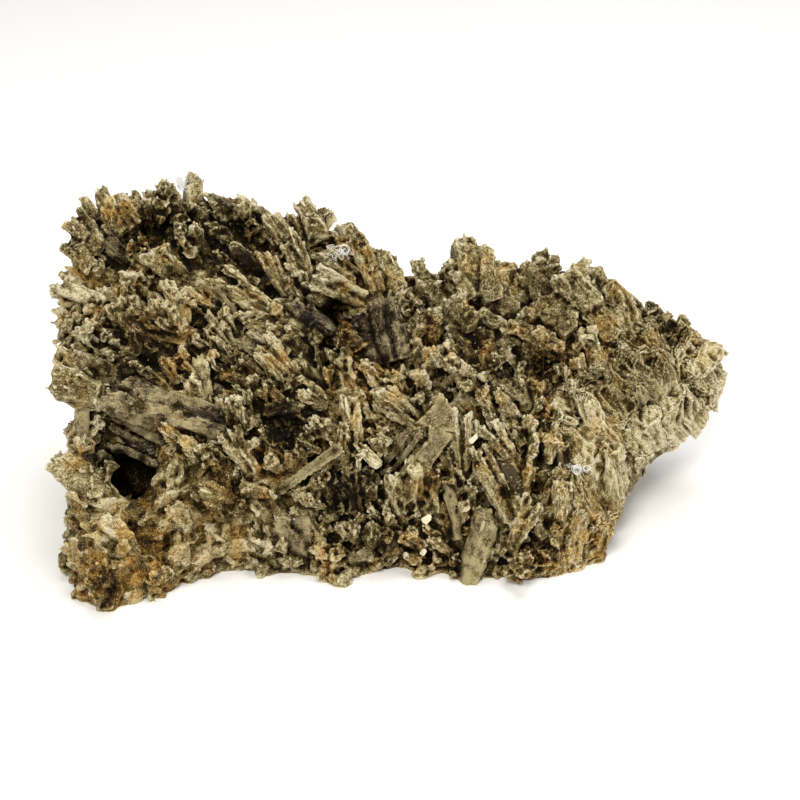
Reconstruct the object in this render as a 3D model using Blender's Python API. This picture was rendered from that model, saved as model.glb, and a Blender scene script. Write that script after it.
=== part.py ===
"""Epidote crystal cluster: a slab of rock overgrown with leaning blades, resting on its broken underside.

The rock and its blades grew together, so they are one solid. Three wisps of white fibre lie caught in it.
Lengths are written in millimetres and the model is built in metres, +Z up. X runs along the slab from its
tall left end to its narrow right end, and -Y is the broken front. The origin is under the middle at the rest.
"""

import math
import random

import bmesh
import bpy
import numpy as np
from mathutils import Vector, noise

MM = 0.001
MIDDLE = Vector((0.82, -0.72, 0))  # the finished cluster's middle on the ground, which becomes the origin

# The slab's shape along its length: each curve is (x, value) in mm, read between its points.
FLOOR_Z = [(-80, -3), (49, -3), (53, 2), (57, 9), (63, 14), (70, 17), (78, 19), (84, 24)]
TOE_Y = [(-80, -24), (-74, -35), (-67, -40), (-57, -39), (-50, -33), (-44, -27), (-36, -23), (-22, -25),
         (-10, -30), (-1, -22), (8, -25), (22, -28), (33, -29), (44, -26), (50, -21), (56, -8), (63, 1),
         (70, 5), (78, 11), (84, 17)]
SHIN_Y = [(-80, -20), (-73, -32), (-66, -37), (-56, -36), (-50, -31), (-43, -26), (-20, -25), (-9, -28),
          (0, -24), (15, -27), (33, -28), (44, -25), (51, -20), (57, -10), (64, -2), (72, 3), (84, 16)]
WAIST_Y = [(-80, -9), (-72, -20), (-64, -14), (-56, -12), (-50, -19), (-44, -23), (-28, -23), (0, -20),
           (15, -21), (33, -20), (44, -17), (54, -10), (64, -2), (75, 7), (84, 17)]
BROW_Y = [(-80, -2), (-71, -9), (-61, -17), (-50, -19), (-28, -19), (0, -15), (15, -13), (29, -11),
          (44, -7), (54, -2), (64, 3), (75, 11), (84, 19)]
BROW_Z = [(-80, 44), (-60, 43), (-50, 42), (-40, 38), (-28, 38), (0, 37), (29, 38), (44, 41), (54, 43),
          (64, 41), (75, 36), (84, 30)]
CREST_Y = [(-80, 26), (-53, 32), (-37, 31), (-20, 28), (0, 25), (26, 24), (56, 24), (84, 21)]
CREST_Z = [(-80, 62), (-72, 66), (-61, 67), (-46, 69), (-38, 67), (-31, 64), (-21, 65), (-15, 64), (-9, 60),
           (0, 54), (5, 49), (10, 51), (20, 57), (31, 52), (38, 54), (46, 52), (56, 46), (67, 39), (78, 35),
           (84, 30)]
BACK_Y = [(-80, 30), (-53, 38), (0, 33), (40, 31), (60, 30), (84, 23)]
HEEL_Y = [(-80, 20), (-53, 29), (0, 25), (40, 23), (60, 24), (84, 20)]
LEFT_END = [(0, -75), (12, -73), (20, -69), (30, -71), (37, -75), (45, -76), (55, -78), (72, -77)]  # (z, x)
CORNER_REACH = 2.5  # how far on each side of a curve's corner the rounding goes

# Heights that have no curve: the shin and the waist are shares of the way from the floor up to the brow, the
# back is a share of the way up to the crest, and the slope from brow to crest swells upwards.
SHIN_RISE, WAIST_RISE, BACK_RISE = 0.34, 0.67, 0.55
SLOPE_SWELL = 1.0

FIRST_X, LAST_X = -79, 83
STATIONS = [(FIRST_X, 0.80), (-77, 0.95), (-74, 1.0), *[(x, 1.0) for x in range(-68, 71, 6)],
            (75, 1.0), (79, 0.92), (LAST_X, 0.62)]  # (x, size of the section there against the curves)
ROUND_STEPS = 21  # points round each section
END_PULL_START = -64  # left of this x the slab is drawn to the left end's own outline

# The broken rock: each layer of lumps is (height, spacing, shift), and the back steps in ledges.
LUMPS = [(2.2, 11, Vector((0, 0, 0))), (1.4, 5, Vector((7, 3, 1)))]
LEDGE_DEPTH, LEDGE_SPACING, LEDGE_SHIFT = 6.0, (13, 9, 8), 0.2
LEDGES_FADE_Y = (8, 30)  # the ledges start behind the first y and are full behind the second
END_BULGE, END_UNEVENNESS, END_LUMP_SPACING = 0.06, 0.14, 7  # the first two as shares of the end's radius
END_RINGS = (0.72, 0.55)  # each smaller ring of an end, as a share of the ring outside it

# The way blades grow, as sideways and backward slopes against a rise of 1.
LEAN = [(-80, -0.85), (-40, -0.70), (0, -0.50), (30, -0.38), (60, -0.42), (84, -0.55)]  # (x, slope along X)
FRONT_TOP_Z, FRONT_FADE_Z, FRONT_Y, FRONT_FADE_Y = 36, 14, -2, 8  # where the fan on the lower front fades in
FAN_UPRIGHT, FAN_SPREAD, FAN_SPACING = 0.75, 0.45, 16
FORWARD_SLOPE, FRONT_FORWARD_SLOPE, BACK_SLOPE = -0.12, -0.10, 0.7
BACK_Y_START, BACK_FADE_Y = 22, 10  # where blades start to lean back

# A crystal's section, a skewed diamond, as shares of its width and its thickness.
DIAMOND = [(-0.5, -0.12), (0.18, -0.5), (0.5, 0.12), (-0.18, 0.5)]
ROOT_NARROWING = 0.85  # a crystal's width at its root against its width at its tip
FRONT_FACING = Vector((0.2, -1, 0.3)).normalized()  # for crystals that stand straight out of the surface

# Crystals that stand out. Each runs over the surface from its root to its tip, both (x, turn, height above
# the surface), and then come its width and its thickness.
CRYSTALS = [
    ((-24, 2.68, -0.5), (-9.5, 3.52, 3.5), 3.3, 2.2),  # smooth grey prism across the middle
    ((12.5, 3.50, 0.0), (10.5, 4.30, 4.5), 6.5, 2.0),  # broad plate in the middle
    ((15.5, 3.60, 0.5), (8.0, 3.08, 3.5), 3.6, 2.0),  # strip across the plate's foot
    ((17.0, 2.90, 0.0), (17.0, 4.05, 3.5), 3.0, 2.4),
    ((30.5, 2.85, 0.0), (20.5, 3.75, 3.5), 3.6, 2.4),
    ((28.5, 2.35, 0.0), (19.5, 3.40, 3.5), 5.2, 2.8),
    ((15.5, 2.00, 0.0), (11.5, 2.95, 2.5), 2.6, 2.2),
    ((18.5, 1.25, -1.0), (23.5, 2.40, 2.5), 6.0, 4.5),  # smooth cone at the foot
    ((28.5, 1.80, 0.0), (34.5, 2.62, 3.0), 3.6, 2.6),
    ((-37.0, 3.90, -1.0), (-65.0, 4.05, 3.5), 6.8, 3.6),  # long cloudy blade under the left brow
    ((-50.0, 3.05, -1.5), (-64.5, 3.24, 2.5), 2.4, 2.4),  # dark prisms over the hollow
    ((-50.0, 2.88, -1.5), (-64.5, 3.04, 2.5), 2.4, 2.4),
    ((-61.0, 2.40, 0.0), (-77.0, 2.86, 1.5), 6.5, 5.0),  # chunk that juts out at the left
    ((-62.5, 2.50, 0.0), (-71.0, 2.86, 5.0), 3.4, 2.4),
    ((-68.0, 3.75, 0.0), (-78.0, 3.68, 1.5), 6.0, 5.0),  # left-hand tip
    ((-58.0, 2.25, 0.0), (-70.0, 2.25, 2.5), 6.5, 4.5),  # pale lump on the foot
    ((-46.0, 5.95, -2.0), (-46.5, 5.90, 6.5), 3.6, 3.2),  # knob on the top
    ((-23.0, 5.85, 1.5), (-44.5, 5.85, 2.0), 3.4, 3.0),  # long dark prism along the top
    ((-69.0, 5.90, -1.0), (-73.0, 5.90, 3.0), 6.0, 4.0),  # tips along the left-hand crest
    ((-58.0, 5.95, -1.0), (-62.0, 5.95, 3.5), 6.5, 4.5),
    ((-50.0, 5.95, -1.0), (-54.5, 5.95, 3.5), 6.0, 4.5),
    ((-17.0, 6.00, -1.0), (-21.5, 5.95, 5.5), 4.2, 3.4),  # tall tip
    ((-11.5, 6.00, -1.0), (-16.0, 6.00, 3.5), 5.0, 3.6),
    ((-5.0, 6.00, -1.0), (-9.0, 6.00, 3.0), 4.6, 3.4),
    ((13.0, 6.00, -1.0), (10.0, 6.00, 3.0), 4.0, 3.0),  # tips along the right-hand crest
    ((22.0, 5.95, -1.0), (18.5, 5.95, 3.5), 6.5, 4.5),
    ((27.0, 5.95, -1.0), (24.0, 5.95, 3.5), 5.0, 4.0),
    ((38.5, 5.95, -1.0), (35.5, 5.95, 4.0), 4.6, 3.6),
    ((46.0, 5.95, -1.0), (42.5, 5.95, 3.5), 5.5, 4.0),
    ((54.0, 5.95, -1.0), (50.5, 5.95, 3.5), 5.5, 4.0),
    ((1.0, 6.00, -1.0), (-1.0, 6.00, 3.0), 3.4, 3.0),
    ((61.5, 5.40, 0.0), (55.0, 5.60, 3.5), 3.6, 3.0),  # dark tips on the right
    ((68.5, 5.60, 0.0), (62.5, 5.80, 3.5), 4.6, 3.4),
    ((-2.0, 4.45, -2.0), (-2.5, 5.30, 4.5), 8.0, 5.0),  # dark block beside the deep gap
    ((-41.0, 4.00, 0.0), (-40.0, 4.60, 4.0), 3.6, 3.0),
    ((-22.0, 4.25, 0.0), (-28.5, 4.65, 4.0), 3.0, 2.6),
    ((-18.5, 3.85, 0.0), (-22.0, 4.45, 4.0), 3.0, 2.6),
    ((-20.0, 2.85, 0.0), (-31.0, 3.75, 3.0), 5.0, 2.4),
    ((-16.5, 1.95, -0.5), (-26.0, 2.40, 3.0), 7.5, 3.0),  # grey-green plate at the foot
    ((-34.0, 2.70, 0.0), (-43.5, 2.90, 3.0), 5.0, 3.0),
]
CRYSTAL_SLANT, CRYSTAL_BEVEL = 0.25, 0.5  # how far their ends fall, as shares of width and of thickness
CRYSTAL_DEPTH = 3.0  # how far they go on below their roots
CRYSTAL_SINK = 1.5  # how much deeper their roots start than the line from root to tip
CRYSTAL_CLEARANCE = 3.5  # how far the smaller blades keep from those crystals

# The smaller blades between them, each length and width a range that it is drawn from.
BLADE_SEED = 12  # chooses their places and shapes
BLADE_TRIES = 5000  # places tried, of which those too close to another are passed over
END_SHARE = 0.06  # share of the tries on the left end
BACK_TURN = 6.3  # past this turn they stand on the back
FRONT_GAP, BACK_GAP = 8.0, 11.0  # least distance between two of them on the front and on the back
LEAST_UPRIGHT = 0.18  # least slope of a blade against the surface
BLADE_SCATTER, FACING_SCATTER = 0.14, 0.6
BLADE_WIDTH, BLADE_FLATNESS = (4.5, 8.0), (0.45, 0.75)
BLADE_PROUD, BLADE_DEPTH = (7.0, 13.0), (5.0, 9.0)  # length above and below the surface
BLADE_SLANT, BLADE_BEVEL = (-0.5, 0.7), (0.2, 0.9)
SLOPE_TURNS = (4.2, 6.3)  # the slope from brow to crest, where blades stand highest
SLOPE_HIGHEST, FRONT_HIGHEST, END_HIGHEST = 5.0, 3.2, 1.5  # greatest height above the surface
END_NORMAL_X = -0.9  # a normal further left than this belongs to the left end
END_OVERHANG, LEAST_PROUD = 1.5, 2.0  # how far blades may pass the left end, and their least length then

# Hollows and gaps: the place (x, turn) of each, and its half-sizes along X, up the surface and inwards.
HOLLOWS = [
    ((-58.0, 2.70), (6.5, 7.0, 9.0)),
    ((-12.0, 5.00), (3.0, 4.5, 8.0)),
    ((-54.0, 5.05), (3.0, 4.0, 6.0)),
    ((-27.0, 5.15), (2.5, 3.5, 6.0)),
    ((-16.5, 3.30), (3.0, 3.5, 5.0)),
    ((-44.0, 4.00), (2.0, 4.0, 5.0)),
    ((26.0, 2.80), (1.8, 4.0, 5.0)),
    ((30.0, 4.60), (2.5, 3.5, 5.0)),
    ((46.0, 3.90), (2.0, 3.5, 4.5)),
]
HOLLOW_CLEARANCE = 1.0  # how far blades grow from a hollow's edge, so that none closes its mouth
HOLLOW_UNEVENNESS = 0.35
LUMP_DETAIL = 1.7  # how closely the unevenness of a hollow changes over its unit ball
GROUND_BLOCK = (260, 200, 60)  # length, breadth and depth of what is cut away below the rest

# Wisps of white fibre: name, place (x, turn), height of the middle, and half-sizes along X, up the surface
# and outwards.
TUFTS = [
    ("fibre_tuft_crest", (-12.0, 5.55), 1.5, (3.2, 2.6, 2.4)),
    ("fibre_tuft_top", (-48.9, 5.93), 3.4, (1.5, 1.7, 2.1)),
    ("fibre_tuft_side", (43.0, 2.80), 0.8, (2.0, 2.0, 1.8)),
]
TUFT_GAP = 0.3  # air between a tuft and the pocket that holds it
TUFT_CLEARANCE = 6.0  # how far blades keep from a tuft, so that its pocket cuts none of them off

# Plain colours with their roughness.
ROCK = ((0.16, 0.13, 0.06, 1), 0.6)
FIBRE = ((0.80, 0.80, 0.76, 1), 0.8)


def along(curve, x):
    """The curve's value at x, with its corners rounded over a few millimetres."""
    places, values = zip(*curve)
    return float(np.mean(np.interp([x - CORNER_REACH, x, x + CORNER_REACH], places, values)))


def clamped(value):
    """The value kept between 0 and 1."""
    return max(0.0, min(1.0, value))


def corners(x):
    """The section's nine corners at x as (y, z), from the underside round by the front to the back."""
    floor, brow, crest = along(FLOOR_Z, x), along(BROW_Z, x), along(CREST_Z, x)
    toe, heel = along(TOE_Y, x), along(HEEL_Y, x)
    brow_y, crest_y = along(BROW_Y, x), along(CREST_Y, x)
    rise = brow - floor
    return [
        Vector(((toe + heel) / 2, floor)),
        Vector((toe, floor)),
        Vector((along(SHIN_Y, x), floor + SHIN_RISE * rise)),
        Vector((along(WAIST_Y, x), floor + WAIST_RISE * rise)),
        Vector((brow_y, brow)),
        Vector(((brow_y + crest_y) / 2, (brow + crest) / 2 + SLOPE_SWELL)),
        Vector((crest_y, crest)),
        Vector((along(BACK_Y, x), floor + BACK_RISE * (crest - floor))),
        Vector((heel, floor)),
    ]


def surface(x, turn):
    """The slab's smooth surface: x along it and turn, 0 to 9, round its section by the corners' numbers."""
    points = corners(x)
    count = len(points)
    k, t = int(turn) % count, turn % 1.0
    a, b, c, d = (points[(k + j) % count] for j in (-1, 0, 1, 2))
    y, z = 0.5 * ((2 * b) + (c - a) * t + (2 * a - 5 * b + 4 * c - d) * t * t
                  + (3 * b - a - 3 * c + d) * t ** 3)
    return Vector((x, y, z))


def outward(x, turn):
    """The surface's normal, pointing out of the slab."""
    x_step, turn_step = 2, 0.2
    lengthwise = surface(x + x_step, turn) - surface(x - x_step, turn)
    upwards = surface(x, turn + turn_step) - surface(x, turn - turn_step)
    return lengthwise.cross(upwards).normalized()


def rough(point):
    """Lumps and pits of the broken rock, in mm out of the surface, with ledges on the back."""
    lumps = sum(height * noise.noise(point / spacing + shift) for height, spacing, shift in LUMPS)
    place = Vector([value / size for value, size in zip(point, LEDGE_SPACING)])
    ledges = abs(noise.noise(place)) - LEDGE_SHIFT
    return lumps - LEDGE_DEPTH * float(np.interp(point.y, LEDGES_FADE_Y, [0, 1])) * ledges


def pull_in_end(place):
    """The left end's outline: x is drawn from FIRST_X to the end's own x at that height."""
    if place.x >= END_PULL_START:
        return place
    share = (place.x - END_PULL_START) / (FIRST_X - END_PULL_START)
    drawn = END_PULL_START + share * (along(LEFT_END, place.z) - END_PULL_START)
    return Vector((drawn, place.y, place.z))


def make_object(name, bm, finish):
    """A mesh object from bm, in metres about the origin, with its own plain material."""
    colour, roughness = finish
    bmesh.ops.recalc_face_normals(bm, faces=bm.faces)
    bmesh.ops.triangulate(bm, faces=bm.faces)
    bmesh.ops.translate(bm, vec=-MIDDLE, verts=bm.verts)
    bmesh.ops.scale(bm, vec=(MM, MM, MM), verts=bm.verts)
    mesh = bpy.data.meshes.new(name)
    bm.to_mesh(mesh)
    bm.free()
    obj = bpy.data.objects.new(name, mesh)
    bpy.context.scene.collection.objects.link(obj)
    material = bpy.data.materials.new(name)
    material.use_nodes = True
    shader = material.node_tree.nodes["Principled BSDF"]
    shader.inputs["Base Color"].default_value = colour
    shader.inputs["Roughness"].default_value = roughness
    mesh.materials.append(material)
    return obj


def slab():
    """The rock as rings of points along X, each moved out or in by its roughness, which fades at the ends."""
    bm = bmesh.new()
    corner_count = len(corners(0))
    turns = [i * corner_count / ROUND_STEPS for i in range(ROUND_STEPS)]
    rings = []
    for x, size in STATIONS:
        points = [surface(x, turn) for turn in turns]
        middle = sum(points, Vector()) / ROUND_STEPS
        ring = []
        for turn, point in zip(turns, points):
            place = middle + (point - middle) * size + outward(x, turn) * rough(point) * size ** 3
            ring.append(bm.verts.new(pull_in_end(place)))
        rings.append(ring)
    for first, second in zip(rings, rings[1:]):
        for i in range(ROUND_STEPS):
            j = (i + 1) % ROUND_STEPS
            bm.faces.new((first[i], first[j], second[j], second[i]))
    close_end(bm, rings[0], -1)
    close_end(bm, rings[-1], 1)
    return make_object("epidote_cluster", bm, ROCK)


def close_end(bm, ring, way):
    """Closes an end of the slab with smaller rings and a tip, broken unevenly towards way along X."""
    middle = sum((v.co for v in ring), Vector()) / ROUND_STEPS
    radius = sum((v.co - middle).length for v in ring) / ROUND_STEPS
    bulge, unevenness = END_BULGE * radius, END_UNEVENNESS * radius
    for share in END_RINGS:
        inner = []
        for vert in ring:
            place = middle.lerp(vert.co, share)
            lump = bulge + unevenness * noise.noise(place / END_LUMP_SPACING)
            inner.append(bm.verts.new(Vector((middle.x + way * lump, place.y, place.z))))
        for i in range(ROUND_STEPS):
            j = (i + 1) % ROUND_STEPS
            bm.faces.new((ring[i], ring[j], inner[j], inner[i]))
        ring = inner
    tip = bm.verts.new(middle + Vector((way * bulge, 0, 0)))
    for i in range(ROUND_STEPS):
        bm.faces.new((ring[i], ring[(i + 1) % ROUND_STEPS], tip))


def growth(point):
    """The way blades grow at a point of the surface: up, leaning to the left, fanned on the front."""
    front = clamped((FRONT_TOP_Z - point.z) / FRONT_FADE_Z) * clamped((FRONT_Y - point.y) / FRONT_FADE_Y)
    back = clamped((point.y - BACK_Y_START) / BACK_FADE_Y)
    lean = float(np.interp(point.x, *zip(*LEAN))) * (1 - FAN_UPRIGHT * front)
    lean += FAN_SPREAD * front * noise.noise(point / FAN_SPACING)
    return Vector((lean, FORWARD_SLOPE + FRONT_FORWARD_SLOPE * front + BACK_SLOPE * back, 1)).normalized()


def add_crystal(bm, root, tip, width, thickness, facing, slant, bevel):
    """A flat-faced lath from root to tip, its section a skewed diamond and its broad side turned to facing.

    Its end falls by slant times the width from one edge to the other, and by bevel times the thickness from
    its middle to its faces, so it ends in a sloping chisel.
    """
    axis = (tip - root).normalized()
    across = axis.cross(facing).normalized()
    out = across.cross(axis)
    low, high = [], []
    for u, v in DIAMOND:
        side = across * (u * width) + out * (v * thickness)
        drop = slant * width * (u + 0.5) + bevel * thickness * abs(v)
        low.append(bm.verts.new(root + side * ROOT_NARROWING))
        high.append(bm.verts.new(tip + side - axis * drop))
    count = len(DIAMOND)
    for i in range(count):
        j = (i + 1) % count
        bm.faces.new((low[i], low[j], high[j], high[i]))
    bm.faces.new(list(reversed(low)))
    bm.faces.new((high[0], high[1], high[2]))
    bm.faces.new((high[0], high[2], high[3]))


def chosen_crystals(bm):
    """The crystals that stand out, and the points and distances that the smaller blades keep away."""
    taken = []
    for (root_x, root_turn, root_height), (tip_x, tip_turn, tip_height), width, thickness in CRYSTALS:
        root = surface(root_x, root_turn) + outward(root_x, root_turn) * root_height
        tip = surface(tip_x, tip_turn) + outward(tip_x, tip_turn) * tip_height
        facing = outward((root_x + tip_x) / 2, (root_turn + tip_turn) / 2)
        axis = (tip - root).normalized()
        steepest = 0.7
        if abs(axis.dot(facing)) > steepest:
            facing = FRONT_FACING
        start = root - axis * CRYSTAL_DEPTH - facing * CRYSTAL_SINK
        add_crystal(bm, start, tip, width, thickness, facing, CRYSTAL_SLANT, CRYSTAL_BEVEL)
        taken += [(root.lerp(tip, share), CRYSTAL_CLEARANCE) for share in (0.0, 0.35, 0.7, 1.0)]
    taken += [(surface(*place), TUFT_CLEARANCE) for _, place, _, _ in TUFTS]
    taken += [(surface(*place), max(half_sizes[:2]) + HOLLOW_CLEARANCE) for place, half_sizes in HOLLOWS]
    return taken


def place_on_end(rng):
    """A place on the left end's face, with the face's normal."""
    turn, share = rng.uniform(1.5, 7.5), rng.uniform(0.15, 0.9)
    points = [surface(FIRST_X, i) for i in range(len(corners(FIRST_X)))]
    middle = sum(points, Vector()) / len(points)
    point = middle.lerp(surface(FIRST_X, turn), share)
    return turn, pull_in_end(point), Vector((-1, -0.2, 0.1)).normalized()


def place_around(rng):
    """A place on the front, the top or the back, with the surface's normal."""
    x, turn = rng.uniform(-71, 77), rng.uniform(1.3, 7.5)
    return turn, surface(x, turn), outward(x, turn)


def scatter(rng):
    """A random vector, each part of it spread about 0 with a deviation of 1."""
    return Vector([rng.gauss(0, 1) for _ in range(3)])


def grown_blades(bm, taken):
    """Blades spread over the front, top, ends and upper back, none closer than the gap of its place."""
    rng = random.Random(BLADE_SEED)
    sites = []
    for _ in range(BLADE_TRIES):
        turn, point, normal = place_on_end(rng) if rng.random() < END_SHARE else place_around(rng)
        gap = FRONT_GAP if turn < BACK_TURN else BACK_GAP
        if any((point - site).length < gap for site in sites):
            continue
        if any((point - place).length < distance for place, distance in taken):
            continue
        sites.append(point)
        way = growth(point)
        upright = way.dot(normal)
        if upright < LEAST_UPRIGHT:
            way = (way - normal * (upright - LEAST_UPRIGHT)).normalized()
            upright = LEAST_UPRIGHT
        way = (way + BLADE_SCATTER * scatter(rng)).normalized()
        width = rng.uniform(*BLADE_WIDTH)
        thickness = width * rng.uniform(*BLADE_FLATNESS)
        highest = SLOPE_HIGHEST if SLOPE_TURNS[0] < turn < SLOPE_TURNS[1] else FRONT_HIGHEST
        if normal.x < END_NORMAL_X:
            highest = END_HIGHEST
        proud = min(rng.uniform(*BLADE_PROUD), highest / upright)
        if way.x < 0:
            room = point.x - along(LEFT_END, point.z) + END_OVERHANG
            proud = min(proud, max(LEAST_PROUD, room / -way.x))
        facing = (normal + FACING_SCATTER * scatter(rng)).normalized()
        steepest = 0.8
        if abs(facing.dot(way)) > steepest:
            facing = FRONT_FACING
        tip, root = point + way * proud, point - way * rng.uniform(*BLADE_DEPTH)
        slant, bevel = rng.uniform(*BLADE_SLANT), rng.uniform(*BLADE_BEVEL)
        add_crystal(bm, root, tip, width, thickness, facing, slant, bevel)


def add_lump(bm, place, height, half_sizes, uneven):
    """A rounded lump at (x, turn), with half-sizes along X, up the surface and outwards."""
    x, turn = place
    normal = outward(x, turn)
    lengthwise = Vector((1, 0, 0))
    upwards = normal.cross(lengthwise).normalized()
    centre = surface(x, turn) + normal * height
    ball = bmesh.ops.create_icosphere(bm, subdivisions=2, radius=1)
    for vert in ball["verts"]:
        swell = 1 + uneven * noise.noise(vert.co * LUMP_DETAIL + Vector((x, turn, 0)))
        a, b, c = (value * size * swell for value, size in zip(vert.co, half_sizes))
        vert.co = centre + lengthwise * a + upwards * b + normal * c


def hollows(bm):
    """The gaps that the light doesn't reach, as lumps to cut away."""
    for place, half_sizes in HOLLOWS:
        add_lump(bm, place, 0.0, half_sizes, HOLLOW_UNEVENNESS)


def ground(bm):
    """Everything below the rest, as a block to cut away."""
    bmesh.ops.create_cube(bm, size=1)
    bmesh.ops.scale(bm, vec=GROUND_BLOCK, verts=bm.verts)
    bmesh.ops.translate(bm, vec=(0, 0, -GROUND_BLOCK[2] / 2), verts=bm.verts)


def pockets(bm):
    """The room round each tuft, as lumps to cut away."""
    for _, place, height, half_sizes in TUFTS:
        add_lump(bm, place, height, [size + TUFT_GAP for size in half_sizes], 0.0)


def change(obj, name, operation, fill, crossing=False):
    """Joins to obj, or cuts from it, the helper shape that fill makes."""
    bm = bmesh.new()
    fill(bm)
    helper = make_object(name, bm, ROCK)
    helper.hide_render = True
    helper.display_type = "WIRE"
    modifier = obj.modifiers.new(name, "BOOLEAN")
    modifier.operation = operation
    modifier.object = helper
    modifier.use_self = crossing


def all_crystals(bm):
    """The chosen crystals, with the smaller blades between them."""
    grown_blades(bm, chosen_crystals(bm))


def build():
    """Builds the cluster and the tufts caught in it."""
    for obj in list(bpy.data.objects):
        bpy.data.objects.remove(obj)
    cluster = slab()
    change(cluster, "hollows", "DIFFERENCE", hollows)
    change(cluster, "crystals", "UNION", all_crystals, crossing=True)
    change(cluster, "ground", "DIFFERENCE", ground)
    change(cluster, "pockets", "DIFFERENCE", pockets)
    flat = cluster.modifiers.new("flat", "DECIMATE")
    flat.decimate_type = "DISSOLVE"
    flat.angle_limit = math.radians(0.5)
    for name, place, height, half_sizes in TUFTS:
        bm = bmesh.new()
        add_lump(bm, place, height, half_sizes, 0.0)
        make_object(name, bm, FIBRE)


build()
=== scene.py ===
"""Looks of the epidote crystal cluster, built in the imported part's own frame.

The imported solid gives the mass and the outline. Here its rock is sunk a few millimetres, and bundles of
blunt blades reach from it to that outline. Rock and bundles are merged into one crusted mass by a fine voxel
remesh. Ribs, grains, bare prisms and plates lie on it, and wisps of fibre are caught in it. Lengths are in
millimetres until a mesh is made. +Z is up, -Y is the broken front, and +X runs from the tall end to the
narrow one.
"""

import logging
import math
from dataclasses import dataclass, field, fields, replace
from enum import Enum

import bpy
import numpy as np
from bpy.types import Material, Mesh, Node, NodeSocket, NodeTree, Object
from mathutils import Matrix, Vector
from mathutils.bvhtree import BVHTree

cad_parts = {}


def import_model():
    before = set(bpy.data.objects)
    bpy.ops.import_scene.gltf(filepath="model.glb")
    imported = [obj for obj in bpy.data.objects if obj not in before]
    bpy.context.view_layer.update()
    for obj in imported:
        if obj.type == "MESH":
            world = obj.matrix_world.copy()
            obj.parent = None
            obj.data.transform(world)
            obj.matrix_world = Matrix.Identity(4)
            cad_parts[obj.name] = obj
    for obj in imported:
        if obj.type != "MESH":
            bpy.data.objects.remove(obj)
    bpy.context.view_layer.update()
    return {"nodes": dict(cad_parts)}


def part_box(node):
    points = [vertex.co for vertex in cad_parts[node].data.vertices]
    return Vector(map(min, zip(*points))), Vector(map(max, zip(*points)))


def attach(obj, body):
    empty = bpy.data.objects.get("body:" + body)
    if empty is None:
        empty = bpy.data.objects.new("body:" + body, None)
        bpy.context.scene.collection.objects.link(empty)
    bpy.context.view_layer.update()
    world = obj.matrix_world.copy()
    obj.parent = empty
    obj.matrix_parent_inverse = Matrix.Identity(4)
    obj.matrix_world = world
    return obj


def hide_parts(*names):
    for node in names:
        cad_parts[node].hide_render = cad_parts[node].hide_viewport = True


MM = 0.001
ROOT_BODY = "root"
CLUSTER_NODE = "epidote_cluster"
SEED = 7804

Array = np.ndarray
Random = np.random.Generator

log = logging.getLogger("epidote")


# Small tools for numbers, meshes and materials


def linear(hex_colour: str) -> tuple[float, float, float, float]:
    """An sRGB hex colour as linear red, green, blue and an alpha of 1."""
    values = [int(hex_colour[i:i + 2], 16) / 255 for i in (1, 3, 5)]
    return tuple(v / 12.92 if v <= 0.04045 else ((v + 0.055) / 1.055) ** 2.4 for v in values) + (1.0,)


def unit(vectors: Array) -> Array:
    """Each row scaled to length 1."""
    return vectors / np.maximum(np.linalg.norm(vectors, axis=-1, keepdims=True), 1e-9)


def ramp(value: Array, start: float, end: float) -> Array:
    """0 before start, 1 after end, and a straight rise between them."""
    return np.clip((value - start) / (end - start), 0.0, 1.0)


def lattice_noise(points: Array, spacing: float, seed: int) -> Array:
    """Smooth noise from -1 to 1.

    Random values stand at the corners of a cubic lattice, and are blended along each axis by 3t^2 - 2t^3.

    Args:
        points: places in mm, one row each.
        spacing: lattice spacing in mm.
        seed: chooses the random values.

    Returns:
        One value for each row.
    """
    scaled = points / spacing
    cell = np.floor(scaled).astype(np.int64)
    t = scaled - cell
    t = t * t * (3 - 2 * t)
    total = np.zeros(len(points))
    mask = (1 << 31) - 1
    for corner in np.ndindex(2, 2, 2):
        ids = cell + np.array(corner)
        mixed = (ids[:, 0] * 73856093) ^ (ids[:, 1] * 19349663) ^ (ids[:, 2] * 83492791) ^ (seed * 2654435)
        mixed = ((mixed & mask) ^ ((mixed & mask) >> 13)) * 1274126177 & mask
        value = ((mixed ^ (mixed >> 15)) & 0xFFFF) / 32767.5 - 1
        total += value * np.prod(np.where(corner, t, 1 - t), axis=1)
    return total


def layered_noise(points: Array, spacing: float, seed: int, layers: int = 3) -> Array:
    """Sum of lattice noises, each layer with half the spacing and half the height of the one before."""
    return sum(lattice_noise(points, spacing / 2 ** i, seed + i) * 0.5 ** i for i in range(layers))


def drawn_noise(points: Array, axis: Array, reach: Array, spacing: float, seed: int,
                steps: int = 7) -> Array:
    """Lattice noise drawn out along an axis: the mean at a few places from -reach to reach along it.

    It is scaled up a little with the reach, because a mean over a longer way is flatter.

    Args:
        points: places in mm, one row each.
        axis: the unit axis at each place.
        reach: how far it is drawn out at each place, in mm.
        spacing: lattice spacing in mm.
        seed: chooses the random values.
        steps: at how many places along the axis it is read.

    Returns:
        One value for each row.
    """
    total = np.zeros(len(points))
    for step in np.linspace(-1, 1, steps):
        total += lattice_noise(points + axis * (step * reach)[:, None], spacing, seed)
    return total / steps * (1 + 0.35 * reach)


def laid(ways: Array, normals: Array) -> Array:
    """Each way without its part along the normal, so that it lies in the surface."""
    return ways - normals * (ways * normals).sum(axis=1, keepdims=True)


def scatter(rng: Random, count: int) -> Array:
    """Random vectors, whose coordinates are normal with a deviation of 1."""
    return rng.normal(0, 1, (count, 3))


def drawn_sizes(rng: Random, count: int, middle: float, spread: float, least: float, most: float,
                scale: float | Array = 1.0) -> Array:
    """Log-normal random sizes round a middle one, times a scale, and held between a least and a most."""
    return np.clip(scale * rng.lognormal(math.log(middle), spread, count), least, most)


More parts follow.
